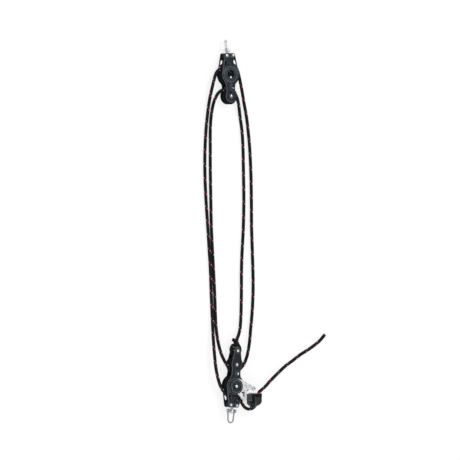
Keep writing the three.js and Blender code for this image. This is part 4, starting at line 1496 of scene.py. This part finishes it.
@dataclass
class CleatArm:
    """The arm on the large axle of the lower block, with its clamp and its cam cleat."""

    hub_radius: float = 17
    plate_inner: float = 12.8
    plate_outer: float = 14.3
    web_inner: float = 29
    web_outer: float = 30.6
    ear: Point = (4.6, 50)
    ear_radius: float = 6.5
    back: Point = (-14, 20)
    back_pull: Point = (-21, 5)
    standoff_apart: float = 3.6
    core_radius: float = 1.5
    core_end: float = 14.9
    post_x: float = 35.5
    post_z: float = 8.9
    post_foot: float = 55.5
    post_seat: float = 73.9
    post_radius: float = 1.8
    post_head: float = 3.4
    cam_foot: float = 59.2
    cam_height: float = 12
    cam_reach: float = 4.6
    cam_nose: float = 60
    cam_back: float = 4.4
    cam_tooth: float = 0.55
    spring_radius: float = 2.75
    spring_turns: float = 3.5
    spring_height: float = 2.6
    spring_wire: float = 0.3
    ribs: tuple[float, ...] = (35.3, 41.2, 47.1)
    pocket_half: float = 0.9
    pocket_radius: float = 3.7
    guide_half: float = 13.4
    guide_corner: float = 8
    guide_bore: float = 10.8
    barrel_half: float = 13.4
    barrel_depth: float = 16.6
    barrel_power: float = 2.6
    barrel_wall: float = 0.5
    barrel_start: float = 24.8
    barrel_end: float = 48.5
    barrel_slant: float = 4.5
    slant_angle: float = 55
    flutes: int = 8
    flute_depth: float = 0.8
    flute_angle: float = 62
    # the hollow in which the cams swing: its reach to each side, away from the arm and towards it
    cam_room_aside: float = 14.5
    cam_room_above: float = 8
    cam_room_below: float = 7.9

    def add(self, node: str, form: Form, slot: Slot, body: str = "cleat_arm", name: str = "") -> None:
        """Makes a piece given in the arm's own frame.

        Args:
            node: The node that it stands for.
            form: Its form.
            slot: Its material slot.
            body: Its body.
            name: Its name, unless that is the node's with the word for its finish.
        """
        place = shift(LOWER.x, LOWER.y, LOWER.z)
        make_piece(name or f"{node}_{PIECE_WORDS[slot]}", form.moved(place), slot, body, node)

    def plate_outline(self) -> list[Point]:
        """Returns the edge of a side plate, with a curve from the ear's back to the hub.

        Returns:
            The outline.
        """
        points = arc(0, 0, self.hub_radius, 200, 370)
        points += rounded([(39.8, 27.4), (43.4, 29.0), (39.8, self.web_outer)], 1.4, 4, closed=False)
        points += [(9.4, self.web_outer), (7.4, 32.4), (6.6, 41)]
        points += arc(*self.ear, self.ear_radius, -22, 198, 10)
        points += [self.back]
        return points + bezier([self.back, self.back_pull, points[0]], 10)[1:-1]

    def arm(self) -> None:
        """Makes the plates, the web and the standoffs."""
        x, y = self.ear
        places = [(x, y - self.standoff_apart), (x, y + self.standoff_apart)]
        holes = [circle(0, 0, 7.3, 48), rounded([(12, 24), (13.6, 15), (28, 24)], 1.2)]
        holes += [circle(*place, 1.7, 20) for place in places]
        side = plate(self.plate_outline(), holes, self.plate_inner, self.plate_outer, 0.35)
        self.add("arm_plate_near", side, Slot.STEEL)
        self.add("arm_plate_far", side.moved(Matrix.Scale(-1, 4, (0, 0, 1))), Slot.STEEL)
        web = plate(box(4, 27, -BLOCK_HALF, BLOCK_HALF, 1), [], self.web_inner, self.web_outer, 0.3)
        self.add("arm_web", web.moved(ACROSS), Slot.STEEL)
        half = [(0, 9), (1.35, 9), (1.35, 15.2), (1.7, 15.5), (2.2, 15.4), (2.6, 14.9),
                (2.6, 14.6), (1.4, 14.6), (1.4, 12.5), (3, 12.5)]
        standoff = turned(with_mirror(half), 32)
        core = turned(with_mirror([(0, self.core_end), (self.core_radius, self.core_end)]), 24)
        for i, place in enumerate(places, 1):
            name = f"arm_standoff_{i}"
            self.add(name, standoff.moved(shift(*place)), Slot.STEEL)
            self.add(name, core.moved(shift(*place)), Slot.ACETAL, name=f"{name}_core")

    def clamp(self) -> None:
        """Makes the clamp discs and the bolt."""
        over = turn(180, "X")
        profile = [(4.3, 14.6), (18, 14.6), (18, 15.9), (17.3, 16.5), (12.9, 16.5), (12.3, 17),
                   (7.2, 17), (6.4, 16.4), (6.4, 15.4), (4.3, 15.4)]
        disc = turned(rounded(profile, 0.3, 3), 96) + washer(14.2, 15.0, 16.3, 16.8, 0.2)
        self.add("arm_disc_near", disc, Slot.NYLON, "lower_block")
        self.add("arm_disc_far", disc.moved(over), Slot.NYLON, "lower_block")
        half = [(0, 16.8), (2.4, 16.75), (3.5, 16.4), (3.7, 16.0), (3.7, 15.7)]
        bolt = turned(rounded(with_mirror(half), 0.2, 2, closed=False), 48)
        self.add("arm_bolt", bolt, Slot.STEEL, "lower_block")
        seal = washer(3.7, 5.8, 15.7, 16.1, 0.15)
        self.add("arm_bolt", seal + seal.moved(over), Slot.ACETAL, "lower_block", "arm_bolt_seal")

    def cam_outline(self, side: int) -> list[Point]:
        """Returns a cam's edge about its post, with teeth on the straight face.

        Args:
            side: 1 for the near cam, -1 for the far one.
        Returns:
            The outline in X and Z.
        """
        reach, nose, back = self.cam_reach, self.cam_nose, self.cam_back
        top = reach / math.cos(math.radians(nose))
        points = []
        for k in range(72):
            angle = 5.0 * k
            a = math.radians(angle)
            if angle <= nose:
                radius = reach / math.cos(a) - self.cam_tooth * (k % 2)
            elif angle <= 180:
                share = (angle - nose) / (180 - nose)
                radius = top + (back - top) * math.sin(share * math.pi / 2)
            else:
                radius = back + (reach - back) * (angle - 180) / 180
            points.append((-radius * math.sin(a), -side * radius * math.cos(a)))
        return points

    def post_form(self) -> Form:
        """Returns a cam's post, from the base to its dimpled head in the cap.

        Returns:
            The form.
        """
        foot, head = self.post_foot, self.post_seat + TOUCH_GAP
        profile = [(0, foot), (self.post_radius, foot), (self.post_radius, head), (self.post_head, head)]
        profile += [(self.post_head, head + 0.6), (2.4, head + 1.2), (0.7, head + 1.25), (0, head + 0.9)]
        return turned(rounded(profile, 0.2, 2, closed=False), 32)

    def spring_form(self) -> Form:
        """Returns a cam's spring, wound about its post.

        Returns:
            The form.
        """
        angles = np.linspace(0, self.spring_turns * TURN, 110)
        x, y = self.spring_radius * np.cos(angles), self.spring_radius * np.sin(angles)
        height = self.cam_foot + 0.4 + self.spring_height * angles / angles[-1]
        return tube(np.column_stack([x, y, height]), self.spring_wire, 8)

    def cams(self) -> None:
        """Makes the cams, their posts and their springs."""
        foot = self.cam_foot
        shelf = foot + 4
        for i, side in enumerate((1, -1), 1):
            place = shift(self.post_x, 0, side * self.post_z) @ ACROSS
            outline = self.cam_outline(side)
            cam = plate(outline, [circle(0, 0, 2.1, 24)], shelf, foot + self.cam_height, 0.2)
            cam += plate(outline, [circle(0, 0, 3.5, 24)], foot, shelf + 0.1, 0.2)
            self.add(f"cleat_cam_{i}", cam.moved(place), Slot.NYLON, f"cam_{i}")
            self.add(f"cleat_post_{i}", self.post_form().moved(place), Slot.STEEL)
            self.add(f"cleat_spring_{i}", self.spring_form().moved(place), Slot.WIRE)

    def guide_form(self, low: float, high: float, grow: float, edge: float) -> Form:
        """Returns a rounded square ring that the rope runs through.

        Args:
            low: Where it starts along the rope.
            high: Where it ends.
            grow: How much larger than the guide it is to each side.
            edge: Radius of its rounded edges.
        Returns:
            The form.
        """
        half, bore = self.guide_half + grow, self.guide_bore
        outside = box(CLEAT_AXIS - half, CLEAT_AXIS + half, -half, half, self.guide_corner + grow, 8)
        inside = box(CLEAT_AXIS - bore, CLEAT_AXIS + bore, -bore, bore, bore / 2, 8)
        return plate(outside, [inside], low, high, edge).moved(ALONG)

    def barrel_reach(self, angle: float, share: float) -> float:
        """Returns the barrel's half width.

        Args:
            angle: Direction in radians from +Z towards +Y.
            share: Place along the barrel, from 0 at the rope's entry to 1.
        Returns:
            The half width.
        """
        power = self.barrel_power
        across, up = abs(math.cos(angle)) / self.barrel_depth, abs(math.sin(angle)) / self.barrel_half
        narrow = float(np.interp(share, (0, 0.55, 0.72, 0.86, 0.95, 1), (1, 1, 0.94, 0.84, 0.71, 0.6)))
        return narrow * (across**power + up**power) ** (-1 / power)

    def barrel_form(self, start: float, stop: float) -> Form:
        """Returns a fluted part of the barrel about the rope's line, hollow where the cams swing.

        Args:
            start: First direction in degrees, from +Z towards +Y.
            stop: Last direction.
        Returns:
            The form.
        """
        half_count = max(60, round((stop - start) / 2))
        shares = [0, 0.012, 0.035, *np.arange(0.08, 0.96, 0.04), 0.975, 0.993, 1]
        # how far the barrel's two rims are rounded in
        insets = {0: 0.7, 1: 0.25, len(shares) - 1: 0.8, len(shares) - 2: 0.3}
        points = []
        for i, share in enumerate(shares):
            fade = min(1.0, max(0.0, (share - 0.06) / 0.06)) * min(1.0, max(0.0, (0.97 - share) / 0.1))
            outside, inside = [], []
            for k in range(half_count):
                angle = math.radians(start + (stop - start) * k / (half_count - 1))
                up, out = math.cos(angle), math.sin(angle)
                end = self.barrel_end - self.barrel_slant * math.cos(angle - math.radians(self.slant_angle))
                x = self.barrel_start + share * (end - self.barrel_start)
                ridge = abs(math.cos((angle - math.radians(self.flute_angle)) * self.flutes / 2))
                flute = self.flute_depth * max(0.0, 1 - ridge * 2.0)
                outer = self.barrel_reach(angle, share) - insets.get(i, 0) - flute * fade
                outside.append((x, outer * out, outer * up))
                room = self.cam_room_above if out > 0 else self.cam_room_below
                free = min(self.cam_room_aside / max(abs(up), 1e-6), room / max(abs(out), 1e-6))
                core = min(free, outer - self.barrel_wall)
                inside.append((x, core * out, core * up))
            points += [*outside, *reversed(inside)]
        return lofted(np.array(points), 2 * half_count)

    def cleat(self) -> None:
        """Makes the riser, the two fluted parts of the barrel, and the rope guide with its rim."""
        riser = plate(box(17.8, 33.8, -8.8, 8.8, 3), [], 30.9, 51.5, 0.9)
        for level in self.ribs:
            riser += plate(box(17.6, 34, -9, 9, 3), [], level - 1.1, level + 1.1, 0.5)
        gusset = plate(rounded([(32, 35), (47.5, 52.5), (32, 54)], 1.5), [], -7.8, 7.8, 0.8)
        self.add("cleat_riser", riser.moved(ACROSS) + gusset, Slot.NYLON)
        axis = shift(y=CLEAT_AXIS)
        self.add("cleat_base", self.barrel_form(-150, -30).moved(axis), Slot.NYLON)
        cap = self.barrel_form(-29.6, 209.6).moved(axis)
        half, radius = self.pocket_half, self.pocket_radius
        pocket = turned([(0, -half), (radius, -half), (radius, half), (0, half)], 40).moved(ACROSS)
        for side in SIDES:
            seat = shift(self.post_x, self.post_seat + half, side * self.post_z)
            cap = carved(cap, pocket.moved(seat))
        self.add("cleat_cap", cap, Slot.NYLON)
        guide, rim = self.guide_form(17.4, 25.6, 0, 0.9), self.guide_form(15.4, 17.1, 0.6, 0.6)
        self.add("cleat_fairlead", guide, Slot.ACETAL, name="cleat_guide_moulding")
        self.add("cleat_rim", rim, Slot.RED)

    def build(self) -> None:
        """Makes every piece of the arm."""
        self.arm()
        self.clamp()
        self.cams()
        self.cleat()


def main() -> None:
    """Builds the scene."""
    logging.basicConfig(level=logging.INFO, format="%(message)s")
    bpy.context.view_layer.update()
    Studio().build()
    Rope().build()
    FiddleBlock(UPPER).build()
    FiddleBlock(
        LOWER, becket=True, shackle_length=28.2, shackle_roll=90, shackle_lean=0, bow_radius=1.75,
        bow_finish=Slot.WIRE,
    ).build()
    CleatArm().build()


if __name__ == "__main__":
    main()
